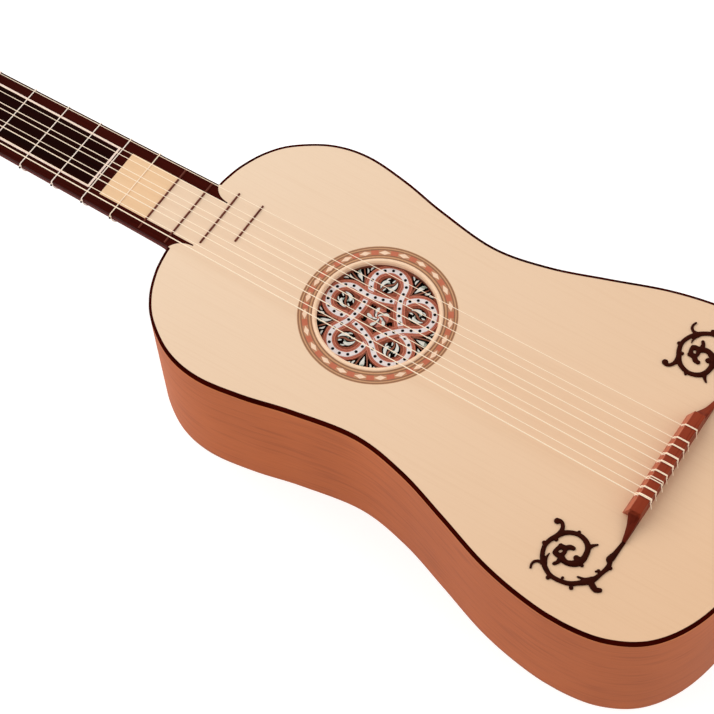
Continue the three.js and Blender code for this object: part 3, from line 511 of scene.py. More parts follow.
def makeBandFinish():
    finish, tree, shader, place = newFinish("mosaicBand", band["roughness"], coat=band["coat"])
    centred = addNode(tree, "ShaderNodeMapping")
    centred.inputs["Location"].default_value = [-c for c in band["centre"]]
    tree.links.new(place, centred.inputs["Vector"])
    x, y, _ = splitPlace(tree, centred.outputs[0])
    squares = maths(tree, "MULTIPLY_ADD", x, x, maths(tree, "MULTIPLY", y, y))
    radius = maths(tree, "SQRT", squares)
    angle = maths(tree, "ARCTAN2", y, x)
    cell = 2 * math.pi / band["count"]
    offMiddle = maths(tree, "ABSOLUTE", maths(tree, "SUBTRACT", radius, band["middleRadius"]))
    # Whole cells added, so that the count stays above zero all round
    wholeCells = 40

    def arcFrom(start):
        cells = maths(tree, "MULTIPLY_ADD", angle, 1 / cell, start + wholeCells + 0.5)
        turns = maths(tree, "FRACT", cells)
        return maths(tree, "MULTIPLY", maths(tree, "ABSOLUTE", maths(tree, "SUBTRACT", turns, 0.5)),
                     cell * band["middleRadius"])

    arc, half = band["lozenge"]
    share = maths(tree, "MULTIPLY", arcFrom(0.5), 1 / arc)
    lozenge = maths(tree, "MULTIPLY_ADD", offMiddle, 1 / half, share)
    lozengeMask = remap(tree, lozenge, *band["lozengeEdge"], 1.0, 0.0)
    wide, tall = band["block"]
    wideEdge, tallEdge = band["blockEdge"]
    blockMask = maths(
        tree, "MULTIPLY",
        remap(tree, arcFrom(0.0), wide - wideEdge, wide + wideEdge, 1.0, 0.0),
        remap(tree, offMiddle, tall - tallEdge, tall + tallEdge, 1.0, 0.0),
    )
    group = addNode(tree, "ShaderNodeGroup", band["wear"], node_tree=mottleGroup)
    tree.links.new(place, group.inputs["Vector"])
    group.inputs["Light Color"].default_value = (1, 1, 1, 1)
    group.inputs["Dark Color"].default_value = band["wearColor"]
    pastGround = remap(tree, offMiddle, band["half"], band["half"] + band["groundEdge"])
    color = mixColors(tree, pastGround, band["ground"], band["paleColor"])
    color = mixColors(tree, blockMask, color, band["blockColor"])
    color = mixColors(tree, lozengeMask, color, band["lozengeColor"])
    width = band["lineHalfWidth"]
    for lineRadius in band["lines"]:
        off = maths(tree, "ABSOLUTE", maths(tree, "SUBTRACT", radius, lineRadius))
        line = remap(tree, off, width, width * band["lineFade"], band["lineStrength"], 0.0)
        color = mixColors(tree, line, color, band["lineColor"])
    color = mixColors(tree, band["wearStrength"], color, group.outputs["Color"], "MULTIPLY")
    tree.links.new(color, shader.inputs["Base Color"])
    addBump(tree, shader, group.outputs["Mask"], band["bump"])
    return finish


mosaicBand = makeBandFinish()
print("finishes made:", len(bpy.data.materials))


# Ways of making and finishing a mesh. A hair gap parts neighbours, and a cutter overruns what it cuts
hairGap = 0.00005
overrun = 0.001
weldReach = 0.000004
flatAngle = 0.5
thinnestLeaf = 0.00004


def clearSelection():
    bpy.ops.object.select_all(action="DESELECT")


def takeUp(piece):
    clearSelection()
    piece.select_set(True)
    bpy.context.view_layer.objects.active = piece
    return piece


def drawLines(name, lines, closed=False):
    bpy.ops.curve.primitive_bezier_curve_add()
    curve = bpy.context.object
    curve.name = name
    curve.location = (0, 0, 0)
    curve.data.dimensions = "3D"
    curve.data.splines.clear()
    for line in lines:
        spline = curve.data.splines.new("POLY")
        spline.points.add(len(line) - 1)
        for knot, place in zip(spline.points, line):
            knot.co = (*place, 1)
        spline.use_cyclic_u = closed
    return curve


def toMesh(piece):
    takeUp(piece)
    bpy.ops.object.convert(target="MESH")
    return bpy.context.object


def editAll(piece):
    takeUp(piece)
    bpy.ops.object.mode_set(mode="EDIT")
    bpy.ops.mesh.select_all(action="SELECT")


def leaveEdit():
    bpy.ops.mesh.select_all(action="SELECT")
    bpy.ops.mesh.normals_make_consistent(inside=False)
    bpy.ops.object.mode_set(mode="OBJECT")


# A flat outline raised from one level to another
def makePlate(name, outline, low, high):
    piece = toMesh(drawLines(name, [[(x, y, high) for x, y in outline]], closed=True))
    editAll(piece)
    bpy.ops.mesh.edge_face_add()
    bpy.ops.mesh.extrude_region_move(TRANSFORM_OT_translate={"value": (0, 0, low - high)})
    leaveEdit()
    return piece


# A strip between two lines of as many points, raised from one level to another
def makeWall(name, outer, inner, low, high, closed=False):
    lines = [[(x, y, high) for x, y in line] for line in (outer, inner)]
    piece = toMesh(drawLines(name, lines, closed))
    editAll(piece)
    bpy.ops.mesh.bridge_edge_loops(type="SINGLE")
    bpy.ops.mesh.select_all(action="SELECT")
    bpy.ops.mesh.extrude_region_move(TRANSFORM_OT_translate={"value": (0, 0, low - high)})
    leaveEdit()
    return piece


# A round cord along a line, with its own share of the radius at each point where that is given
def makeCord(name, lines, radius, closed=False, fine=2, shares=None):
    curve = drawLines(name, lines, closed)
    if shares:
        for knot, share in zip(curve.data.splines[0].points, shares):
            knot.radius = share
    curve.data.bevel_depth = radius
    curve.data.bevel_resolution = fine
    curve.data.use_fill_caps = True
    return toMesh(curve)


# A flat band along a line, with a rounded rectangle as its section
def makeBand(name, lines, width, height, corner=0.25):
    across, up, cut = width / 2, height / 2, min(width, height) * corner
    section = [(-across + cut, -up), (across - cut, -up), (across, -up + cut), (across, up - cut),
               (across - cut, up), (-across + cut, up), (-across, up - cut), (-across, -up + cut)]
    profile = drawLines(name + "Section", [[(x, y, 0) for x, y in section]], closed=True)
    curve = drawLines(name, lines)
    curve.data.twist_mode = "Z_UP"
    curve.data.bevel_mode = "OBJECT"
    curve.data.bevel_object = profile
    curve.data.use_fill_caps = True
    piece = toMesh(curve)
    bpy.data.objects.remove(profile)
    return piece


# The two edges of a line that has its own half width at each point
def lineEdges(line, halfWidths):
    left, right = [], []
    for i, place in enumerate(line):
        along = Vector(line[min(i + 1, len(line) - 1)]) - Vector(line[max(i - 1, 0)])
        across = Vector((-along.y, along.x)).normalized() * halfWidths[i]
        left.append((place[0] + across.x, place[1] + across.y))
        right.append((place[0] - across.x, place[1] - across.y))
    return left, right


# A flat leaf along given points (x, y, half width), smooth between them
def makeLeaf(name, points, low, high, steps=4):
    line = smoothLine(points, steps)
    left, right = lineEdges([(p.x, p.y) for p in line], [max(p.z, thinnestLeaf) for p in line])
    return makeWall(name, left, right, low, high)


def applyModifier(piece, kind, **settings):
    takeUp(piece)
    modifier = piece.modifiers.new(kind.title(), kind)
    for key, value in settings.items():
        setattr(modifier, key, value)
    bpy.ops.object.modifier_apply(modifier=modifier.name)


def softenEdges(piece, width, segments, angle):
    applyModifier(piece, "BEVEL", width=width, segments=segments, limit_method="ANGLE",
                  angle_limit=math.radians(angle), harden_normals=False)


def cutAway(piece, cutter):
    applyModifier(piece, "BOOLEAN", operation="DIFFERENCE", solver="EXACT", object=cutter)
    bpy.data.objects.remove(cutter)
    return piece


def joinPieces(name, pieces):
    clearSelection()
    for piece in pieces:
        piece.select_set(True)
    bpy.context.view_layer.objects.active = pieces[0]
    if len(pieces) > 1:
        bpy.ops.object.join()
    joined = bpy.context.object
    joined.name = name
    return joined


# A copy of one CAD node. Its triangles are joined into whole faces unless holes pass through them
def copyNode(name, node, pierced=False):
    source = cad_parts[node]
    piece = source.copy()
    piece.data = source.data.copy()
    piece.parent = None
    piece.name = name
    for key in list(piece.keys()):
        del piece[key]
    bpy.context.scene.collection.objects.link(piece)
    piece.data.materials.clear()
    editAll(piece)
    bpy.ops.mesh.remove_doubles(threshold=weldReach)
    if not pierced:
        bpy.ops.mesh.dissolve_limited(angle_limit=math.radians(flatAngle))
    bpy.ops.object.mode_set(mode="OBJECT")
    return piece


def copyPiece(piece, name, matrix):
    made = piece.copy()
    made.data = piece.data.copy()
    made.name = name
    made.data.transform(matrix)
    bpy.context.scene.collection.objects.link(made)
    return made


# The last step for each piece: its place goes into its mesh, and it takes its finish and its body
def finishPiece(piece, finish, body="guitar", nodes=(), smooth=35):
    takeUp(piece)
    bpy.ops.object.transform_apply(location=True, rotation=True, scale=True)
    if smooth:
        bpy.ops.object.shade_smooth_by_angle(angle=math.radians(smooth))
    piece.data.materials.clear()
    piece.data.materials.append(finish)
    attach(piece, body)
    if nodes:
        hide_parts(*nodes)


# The line that a smooth curve takes through given points
def smoothLine(points, steps, closed=False):
    placed = [Vector(p) for p in points]
    count = len(placed)
    line = []
    for i in range(count if closed else count - 1):
        if closed:
            a, b, c, d = (placed[(i + k) % count] for k in (-1, 0, 1, 2))
        else:
            a, b, c, d = (placed[min(max(i + k, 0), count - 1)] for k in (-1, 0, 1, 2))
        for k in range(steps):
            t = k / steps
            out, back = (c - a) / 2, (d - b) / 2
            line.append(b + out * t + (3 * (c - b) - 2 * out - back) * t ** 2
                        + (2 * (b - c) + out + back) * t ** 3)
    if not closed:
        line.append(placed[-1])
    return line


# Body: the outline's points are shares of its length and of its half widths
body = {
    "length": 0.471,
    "lowerWidth": 0.266,
    "neckWidth": 0.0624,
    "upperShare": 0.818,
    "shoulder": [
        (0.0014, 0.088), (0.009, 0.291), (0.027, 0.531), (0.056, 0.737), (0.108, 0.931), (0.168, 1),
    ],
    "side": [
        (0.242, 0.786), (0.318, 0.725), (0.418, 0.673), (0.505, 0.722), (0.59, 0.823), (0.675, 0.929),
        (0.75, 0.985), (0.817, 1), (0.882, 0.962), (0.937, 0.845), (0.975, 0.63), (0.9945, 0.33), (1, 0),
    ],
    "steps": 8,
    "depth": 0.110,
    "back": 0.003,
    "rib": 0.0032,
    "plate": 0.0026,
    "binding": 0.002,
    "bindingDrop": 0.0013,
    "backEdge": 0.0006,
    "bindingEdge": 0.0004,
    "front": -0.2355,
}
topLevel = body["depth"]
plateBottom = topLevel - body["plate"]
bodyFront = body["front"]
ribTop = plateBottom - body["bindingDrop"]


def halfOutline(inset):
    half = body["lowerWidth"] / 2
    start = body["neckWidth"] / 2
    rise = body["upperShare"] * half - start
    points = [(bodyFront, start)]
    points += [(bodyFront + a * body["length"], start + s * rise) for a, s in body["shoulder"]]
    points += [(bodyFront + a * body["length"], s * half) for a, s in body["side"]]
    whole = points + [(x, -y) for x, y in reversed(points[:-1])]
    samples = smoothLine(whole, body["steps"])
    kept = body["steps"] * (len(points) - 1) + 1
    line = []
    for i in range(kept):
        along = (samples[i + 1] - samples[max(i - 1, 0)]).normalized()
        inward = Vector((1, 0)) if i == 0 else Vector((along.y, -along.x))
        place = samples[i] + inward * inset
        line.append((place.x, min(place.y, half - inset)))
    line[-1] = (line[-1][0], 0.0)
    return line


def mirrored(line):
    return [(x, -y) for x, y in line]


def wholeOutline(inset):
    half = halfOutline(inset)
    return half + mirrored(half[:-1])[::-1]


def makeBody():
    back = makePlate("back_plate", wholeOutline(0), 0, body["back"])
    editAll(back)
    bpy.ops.mesh.bisect(plane_co=(0, 0, 0), plane_no=(0, 1, 0))
    leaveEdit()
    softenEdges(back, body["backEdge"], segments=2, angle=60)
    finishPiece(back, backWood, nodes=["back"])
    for name, side in (("bass_rib_wood", -1), ("treble_rib_wood", 1)):
        outer = [(bodyFront, 0)] + halfOutline(0)
        inner = [(bodyFront + body["rib"], 0)] + halfOutline(body["rib"])
        outer = [(x, side * max(y, hairGap)) for x, y in outer]
        inner = [(x, side * max(y, hairGap)) for x, y in inner]
        rib = makeWall(name, outer, inner, body["back"], ribTop)
        finishPiece(rib, ribWood, nodes=[name.replace("_wood", "")])
    binding = makeWall("binding_strip", wholeOutline(0), wholeOutline(body["binding"]), ribTop, topLevel)
    softenEdges(binding, body["bindingEdge"], segments=2, angle=50)
    finishPiece(binding, bindingWood, nodes=["edge_binding"])


makeBody()
print("body made")


# Neck, fingerboard and the tongue of the soundboard that runs up the neck
neck = {
    "length": 0.307,
    "widthAtNut": 0.055,
    "depthAtNut": 0.019,
    "depthAtBody": 0.023,
    "heel": 0.058,
    "tongueLength": 0.069,
    "tongueWidth": 0.0412,
    "horn": 0.0145,
    "hornTip": 0.0008,
    "gap": 0.0003,
    "nutThickness": 0.0047,
    "nutStandout": 0.0026,
    "nutEdge": 0.0005,
    "hornGap": 0.00008,
    "shoulderGap": 0.0004,
}
rose = {
    "x": -0.0784,
    "hole": 0.0431,
    "bead": 0.0458,
    "beadRise": 0.001,
    "beadDepth": 0.001,
    "beadWeld": 0.00001,
    "band": 0.0562,
    "bandDepth": 0.0008,
    "bandTuck": 0.001,
    "sink": 0.0044,
    "relief": 0.0003,
    "sheet": 0.0012,
    "ground": 0.0003,
    "wall": 0.0021,
    "wallGap": 0.0002,
    "lining": 0.0004,
    "liningGap": 0.00002,
    "liningDrop": 0.0002,
    "foot": 0.0016,
    "footStep": 0.0001,
}
nutX = bodyFront - neck["length"]
tongueHalf = neck["tongueWidth"] / 2
bodyHalf = body["neckWidth"] / 2


def hornEdge(grow, steps=10):
    reach = neck["horn"] + grow
    a = Vector((bodyFront + grow, bodyHalf + grow))
    b = Vector((bodyFront + reach / 4, tongueHalf + neck["gap"] + 2 * neck["hornTip"] + grow))
    c = Vector((bodyFront + reach, tongueHalf + neck["gap"] + neck["hornTip"] + grow))
    line = []
    for i in range(steps + 1):
        t = i / steps
        place = a * (1 - t) ** 2 + b * 2 * t * (1 - t) + c * t ** 2
        line.append((place.x, place.y))
    return line


def neckHalf(x):
    share = (x - nutX) / neck["length"]
    return (neck["widthAtNut"] + share * (body["neckWidth"] - neck["widthAtNut"])) / 2


def ringAt(radius, steps=144, centre=None):
    x, y = centre or (rose["x"], 0)
    turns = [2 * math.pi * i / steps for i in range(steps)]
    return [(x + radius * math.cos(t), y + radius * math.sin(t)) for t in turns]


def makeSoundboard():
    inset = body["binding"] + hairGap
    side = [(bodyFront - neck["tongueLength"], tongueHalf), (bodyFront + neck["horn"], tongueHalf)]
    side += hornEdge(neck["hornGap"])[::-1]
    side += [p for p in halfOutline(inset) if p[1] > bodyHalf + neck["shoulderGap"] or p[0] > 0]
    outline = side + mirrored(side[:-1])[::-1]
    board = makePlate("soundboard_plate", outline, plateBottom, topLevel)
    above = topLevel + overrun
    cutAway(board, makePlate("holeCut", ringAt(rose["hole"]), plateBottom - overrun, above))
    cutAway(board, makePlate("bandCut", ringAt(rose["band"]), topLevel - rose["bandDepth"], above))
    finishPiece(board, spruceTop, nodes=["soundboard"])


inlay = {"setIn": 0.0108, "width": 0.0016, "depth": 0.0008, "fromNut": 0.005, "beforeTongue": 0.011}


def inlayOutline(grow):
    start = nutX + inlay["fromNut"] - grow
    end = bodyFront - neck["tongueLength"] - inlay["beforeTongue"] + inlay["width"] / 2 + grow
    reach = neckHalf(end) - inlay["setIn"]
    outer = reach + inlay["width"] / 2 + grow
    inner = reach - inlay["width"] / 2 - grow
    innerEnd = end - inlay["width"] - 2 * grow
    return [(start, outer), (start, inner), (innerEnd, inner), (innerEnd, -inner),
            (start, -inner), (start, -outer), (end, -outer), (end, outer)]


def makeFingerboard():
    notch = tongueHalf + hairGap
    notchStart = bodyFront - neck["tongueLength"] - hairGap
    side = [(notchStart, notch), (bodyFront + neck["horn"], notch)]
    side += hornEdge(0)[::-1] + [(nutX, neckHalf(nutX))]
    outline = side + mirrored(side)[::-1]
    board = makePlate("fingerboard_ebony", outline, plateBottom, topLevel)
    grooveBottom = topLevel - inlay["depth"]
    cutAway(board, makePlate("grooveCut", inlayOutline(hairGap), grooveBottom, topLevel + overrun))
    finishPiece(board, ebonyWood, nodes=["fingerboard"])
    strip = makePlate("fingerboard_line", inlayOutline(0), grooveBottom, topLevel)
    finishPiece(strip, boneInlay, nodes=["fingerboard_inlay"], smooth=0)


def makeNeck():
    shaft = copyNode("neck_wood", "neck")
    finishPiece(shaft, neckWood, nodes=["neck"], smooth=50)
    nut = copyNode("nut_bone", "nut")
    softenEdges(nut, neck["nutEdge"], segments=2, angle=30)
    finishPiece(nut, boneInlay, nodes=["nut"])


makeSoundboard()
makeFingerboard()
makeNeck()
print("soundboard, fingerboard and neck made")


# Rose: a pierced sheet hung below the hole, with five interlaced hooks laid over it.
# The hooks' points are shares of the pattern's reach
hook = {
    "count": 5,
    "reach": 0.0423,
    "points": [(-0.354, 0.131), (-0.348, -0.004), (-0.362, -0.141), (-0.389, -0.285), (-0.444, -0.413),
               (-0.5, -0.545), (-0.492, -0.686), (-0.423, -0.809), (-0.306, -0.886), (-0.167, -0.898),
               (-0.035, -0.848), (0.053, -0.734), (0.087, -0.599)],
    "before": [(-0.372, 0.262)],
    "after": [(0.072, -0.44)],
    "ribbon": 0.0037,
    "ribbonHeight": 0.0005,
    "ribbonLift": 0.0001,
    "strand": 0.0009,
    "strandHeight": 0.0004,
    "strandDrop": 0.00005,
    "strandOffsets": [0.00245, 0.00365],
    "dot": 0.00115,
    "dotLevels": (0.0003, 0.00045),
    "dip": 0.0005,
}
# The round opening in each hook. Its leaves are in millimetres from its middle, with half a width
eye = {
    "angle": 178.3,
    "distance": 0.0274,
    "radius": 0.0066,
    "leaf": [(-3.6, 5.2, 0.1), (-1.6, 5.2, 0.6), (0.6, 4.4, 1.1), (2.2, 3.2, 1.25), (2.9, 1.7, 0.9),
             (2.9, 0.3, 0.3)],
    "leaflets": [
        [(3.9, 2.9, 0.2), (5.0, 1.9, 0.5), (6.0, 0.4, 0.2)],
        [(-5.2, 3.2, 0.15), (-4.0, 2.7, 0.55), (-2.9, 1.7, 0.2)],
    ],
    "green": [(1.5, 1.7, 0.15), (1.9, 0.6, 0.5), (1.6, -0.6, 0.15)],
    "stem": [(-6.2, 4.2, 0.6), (-3.4, 4.0, 0.5), (-1.2, 2.6, 0.55), (0, 0, 0.75), (1.2, -2.6, 0.55),
             (3.4, -4.0, 0.5), (6.2, -4.2, 0.6)],
}
# The opening at the rim: millimetres from the rose's middle, degrees from the opening's own middle
# and, for a leaf, half a width
rimGap = {
    "angle": 214.3,
    "outline": [(28.8, 0), (33.2, -4.2), (36.8, -9.5), (39.2, -14.5), (41.4, -18.5), (42.6, -9), (42.8, 0),
                (42.6, 9), (41.4, 18.5), (38.8, 14.5), (35.9, 9), (32.6, 4.2)],
    "bud": [(32.4, 0.2, 0.1), (35, 0.1, 0.8), (37.6, 0, 1.5), (39.8, -0.3, 1.3), (41.6, -0.6, 0.5)],
    "calyx": [(38.6, 1.6, 0.2), (39.8, 0.4, 1.0), (41, -1.2, 0.7), (42, -2.4, 0.2)],
    "ribs": [
        [(28.6, 0.8, 0.7), (33, 3.6, 0.5), (37, 5.2, 0.45), (41.8, 6.2, 0.4)],
        [(28.6, -0.8, 0.7), (33, -3.6, 0.5), (37, -5.2, 0.45), (41.8, -6.2, 0.4)],
    ],
    "leaflets": [
        [(37.4, 8.2, 0.15), (39.2, 9.4, 0.65), (41.6, 9.0, 0.2)],
        [(37.6, -8.2, 0.15), (39.4, -9.6, 0.65), (41.6, -9.2, 0.2)],
        [(39.4, 12.4, 0.2), (40.8, 13.8, 0.6), (42, 16.4, 0.15)],
        [(39.6, -12.2, 0.2), (41, -13.6, 0.6), (42, -16.2, 0.15)],
    ],
}
# The rose's middle. Its petals and holes are in millimetres, degrees and half widths
heart = {
    "radius": 0.0076,
    "petal": [(7.9, 113, 0.4), (7.0, 119, 1.1), (5.6, 127, 1.1), (4.0, 140, 0.4)],
    "blush": [(7.6, 147, 0.3), (6.4, 152, 0.6), (5.0, 161, 0.55), (3.2, 178, 0.3)],
    "vein": [(7.9, 132, 0.12), (6.2, 141, 0.22), (4.4, 153, 0.2), (2.6, 178, 0.1)],
    "shade": [(7.8, 130, 0.3), (6.8, 135, 0.95), (5.2, 144, 0.85), (3.6, 160, 0.3)],
    "core": [(4.3, 60, 0.2), (3.2, 72, 0.6), (2.0, 92, 0.55), (1.0, 130, 0.2)],
    "coreShade": [(4.6, 82, 0.2), (3.4, 94, 0.55), (2.2, 112, 0.45), (1.2, 140, 0.15)],
    "tip": (8.3, 104, 0.75),
    "voids": [(8.9, 141, 1.5), (9.9, 147, 1.65), (9.5, 134, 0.9), (11.2, 143, 0.9)],
}
# How far the leaves reach below the sheet's face, and each kind above it
leafDepth = 0.0006
leafLift = {
    "leaflet": -0.0001,
    "green": 0.0001,
    "stem": 0.0001,
    "disc": 0.0002,
    "blush": 0.0003,
    "shade": 0.00035,
    "petal": 0.0004,
}
sheetTop = topLevel - rose["sink"] - rose["relief"]
sheetBottom = sheetTop - rose["sheet"]


def roseSpot(a, b, level):
    return (rose["x"] + a * hook["reach"], b * hook["reach"], level)


def fromHeart(distance, degrees):
    angle = math.radians(degrees)
    return (rose["x"] + distance * math.cos(angle), distance * math.sin(angle))


def aroundRose(turn):
    centre = Matrix.Translation((rose["x"], 0, 0))
    return centre @ Matrix.Rotation(2 * math.pi * turn / hook["count"], 4, "Z") @ centre.inverted()


def repeatRound(pieces, name):
    first = joinPieces(name, pieces)
    takeUp(first)
    bpy.ops.object.transform_apply(location=True, rotation=True, scale=True)
    copies = [first] + [copyPiece(first, name, aroundRose(turn)) for turn in range(1, hook["count"])]
    return joinPieces(name, copies)


def makeDisc(name, radius, low, high, centre=None, sides=120):
    return makePlate(name, ringAt(radius, sides, centre), low, high)


# Leaves given in millimetres round the middle of an eye, and the same turned half round
def eyeLeaf(name, points, low, high, opposite=True):
    x, y = fromHeart(eye["distance"], eye["angle"])
    leaves = []
    for sign in ((1, -1) if opposite else (1,)):
        placed = [(x + sign * a / 1000, y + sign * b / 1000, half / 1000) for a, b, half in points]
        leaves.append(makeLeaf(name, placed, low, high))
    return leaves


# Leaves given by their distance from the rose's middle, an angle and their half width
def turnedLeaf(name, points, low, high, axis=0.0):
    placed = []
    for distance, degrees, half in points:
        x, y = fromHeart(distance / 1000, axis + degrees)
        placed.append((x, y, half / 1000))
    return makeLeaf(name, placed, low, high)


def finishRose(piece, finish, nodes=()):
    finishPiece(piece, finish, nodes=nodes)


def makeRoseSheet():
    # The black disc under the sheet is painted shade, the dark inside of the body seen through the holes
    ground = makeDisc("rose_ground", rose["hole"], sheetBottom - rose["ground"], sheetBottom)
    finishRose(ground, shadowBlack, nodes=["rose"])
    sheet = makeDisc("rose_sheet", rose["hole"] + rose["wall"], sheetBottom, sheetTop)
    low, high = sheetBottom - overrun, sheetTop + overrun
    eyePlace = fromHeart(eye["distance"], eye["angle"])
    cutters = [makeDisc("eyeCut", eye["radius"], low, high, eyePlace, sides=40)]
    outline = [fromHeart(r / 1000, rimGap["angle"] + turn) for r, turn in rimGap["outline"]]
    cutters.append(makePlate("gapCut", outline, low, high))
    cutAway(sheet, repeatRound(cutters, "roseCuts"))
    for r, turn, radius in heart["voids"]:
        cut = makeDisc("heartCut", radius / 1000, low, high, fromHeart(r / 1000, turn), sides=10)
        cutAway(sheet, repeatRound([cut], "heartCuts"))
    finishRose(sheet, roseClay)


def makeRoseWall():
    outside = ringAt(rose["hole"] + rose["wall"])
    inside = ringAt(rose["hole"] + rose["wallGap"])
    wall = makeWall("rose_wall", outside, inside, sheetTop, plateBottom, closed=True)
    finishRose(wall, innerSpruce)
    outside = ringAt(rose["hole"] - rose["liningGap"])
    inner = rose["hole"] - rose["lining"]
    footTop = sheetTop + rose["foot"]
    liningTop = topLevel - rose["liningDrop"]
    lining = makeWall("rose_lining", outside, ringAt(inner), footTop, liningTop, closed=True)
    finishPiece(lining, beadWood)
    foot = makeWall("rose_foot", outside, ringAt(inner - rose["footStep"]), sheetTop, footTop, closed=True)
    finishRose(foot, roseStem)


def makeRoseHooks():
    line = hook["before"] + hook["points"] + hook["after"]
    levels = [-hook["dip"]] + [0.0] * len(hook["points"]) + [-hook["dip"]]
    places = [roseSpot(a, b, sheetTop + hook["ribbonLift"] + lift) for (a, b), lift in zip(line, levels)]
    path = smoothLine(places, steps=6)
    ribbon = makeBand("rose_ribbon", [path], hook["ribbon"], hook["ribbonHeight"])
    finishRose(repeatRound([ribbon], "rose_ribbon"), ribbonPaper)
    strands = []
    for offset in hook["strandOffsets"]:
        left, right = lineEdges([(p.x, p.y) for p in path], [offset] * len(path))
        for edge in (left, right):
            lowered = [(x, y, p.z - hook["strandDrop"]) for (x, y), p in zip(edge, path)]
            strands.append(makeBand("rose_strand", [lowered], hook["strand"], hook["strandHeight"]))
    finishRose(repeatRound(strands, "rose_strands"), roseStrand)
    low, high = (sheetTop + lift for lift in hook["dotLevels"])
    dots = []
    for a, b in hook["points"]:
        dots.append(makeDisc("rose_dot", hook["dot"], low, high, roseSpot(a, b, 0)[:2], sides=14))
    finishRose(repeatRound(dots, "rose_dots"), inkAndShadeBlack)


def makeRoseLeaves():
    low, high = sheetTop - leafDepth, sheetTop
    tops = {kind: high + lift for kind, lift in leafLift.items()}
    axis = rimGap["angle"]
    white = eyeLeaf("rose_leaf", eye["leaf"], low, high)
    for leaflet in eye["leaflets"]:
        white += eyeLeaf("rose_leaf", leaflet, low, tops["leaflet"])
    for leaf in [rimGap["bud"]] + rimGap["leaflets"]:
        white.append(turnedLeaf("rose_leaf", leaf, low, high, axis))
    white += [turnedLeaf("rose_leaf", heart[key], low, tops["petal"]) for key in ("petal", "core")]
    finishRose(repeatRound(white, "rose_leaves"), leafPaper)
    green = eyeLeaf("rose_green", eye["green"], low, tops["green"])
    green.append(turnedLeaf("rose_green", rimGap["calyx"], low, tops["green"], axis))
    finishRose(repeatRound(green, "rose_green"), leafGreen)
    stems = eyeLeaf("rose_stem", eye["stem"], low, tops["stem"], opposite=False)
    stems += [turnedLeaf("rose_stem", rib, low, tops["stem"], axis) for rib in rimGap["ribs"]]
    stems.append(turnedLeaf("rose_stem", heart["vein"], low, tops["petal"]))
    finishRose(repeatRound(stems, "rose_stems"), roseStem)
    disc = makeDisc("rose_heart", heart["radius"], low, tops["disc"], sides=60)
    finishRose(disc, roseStrand)
    # The black leaves beside the heart's petals are painted shade; the same black also inks the hooks' dots
    shades = [turnedLeaf("rose_shade", heart[key], low, tops["shade"]) for key in ("shade", "coreShade")]
    finishRose(repeatRound(shades, "rose_shades"), inkAndShadeBlack)
    petals = [turnedLeaf("rose_blush", heart["blush"], low, tops["blush"])]
    finishRose(repeatRound(petals, "rose_blush"), roseBlush)
    r, turn, radius = heart["tip"]
    tip = makeDisc("rose_tip", radius / 1000, low, tops["petal"], fromHeart(r / 1000, turn), sides=12)
    finishRose(repeatRound([tip], "rose_tips"), roseStem)


# The bead is a small half-round section, drawn once and spun round the hole
def makeRoseBead():
    low, high = rose["hole"], rose["bead"]
    across, steps = (high - low) / 2, 8
    turns = [math.pi * i / steps for i in range(steps + 1)]
    section = [(low + across - across * math.cos(t), rose["beadRise"] * math.sin(t)) for t in turns]
    line = [(rose["x"] + r, 0, topLevel + up) for r, up in section]
    foot = topLevel - rose["beadDepth"]
    line = [(line[0][0], 0, foot)] + line + [(line[-1][0], 0, foot)]
    bead = toMesh(drawLines("rose_bead_ring", [line], closed=True))
    editAll(bead)
    bpy.ops.mesh.spin(steps=144, angle=2 * math.pi, center=(rose["x"], 0, topLevel), axis=(0, 0, 1))
    bpy.ops.mesh.select_all(action="SELECT")
    bpy.ops.mesh.remove_doubles(threshold=rose["beadWeld"])
    leaveEdit()
    finishPiece(bead, beadWood, nodes=["rose_bead"])


# The band tucks in under the bead
def makeRosette():
    outer = ringAt(rose["band"], steps=160)
    inner = ringAt(rose["bead"] - rose["bandTuck"], steps=160)
    ring = makeWall("rosette_ring", outer, inner, topLevel - rose["bandDepth"], topLevel, closed=True)
    finishPiece(ring, mosaicBand, nodes=["rosette_band"])


makeRoseSheet()
makeRoseWall()
makeRoseHooks()
makeRoseLeaves()
makeRoseBead()
makeRosette()
print("rose made")


# Bridge with its scrolls
bridge = {
    "x": 0.14752,
    "base": 0.0132,
    "top": 0.0077,
    "height": 0.0115,
    "hole": 0.0082,
    "edge": 0.0003,
}
bridgeFront = bridge["x"] - (bridge["base"] - bridge["top"])
bridgeBack = bridgeFront + bridge["base"]


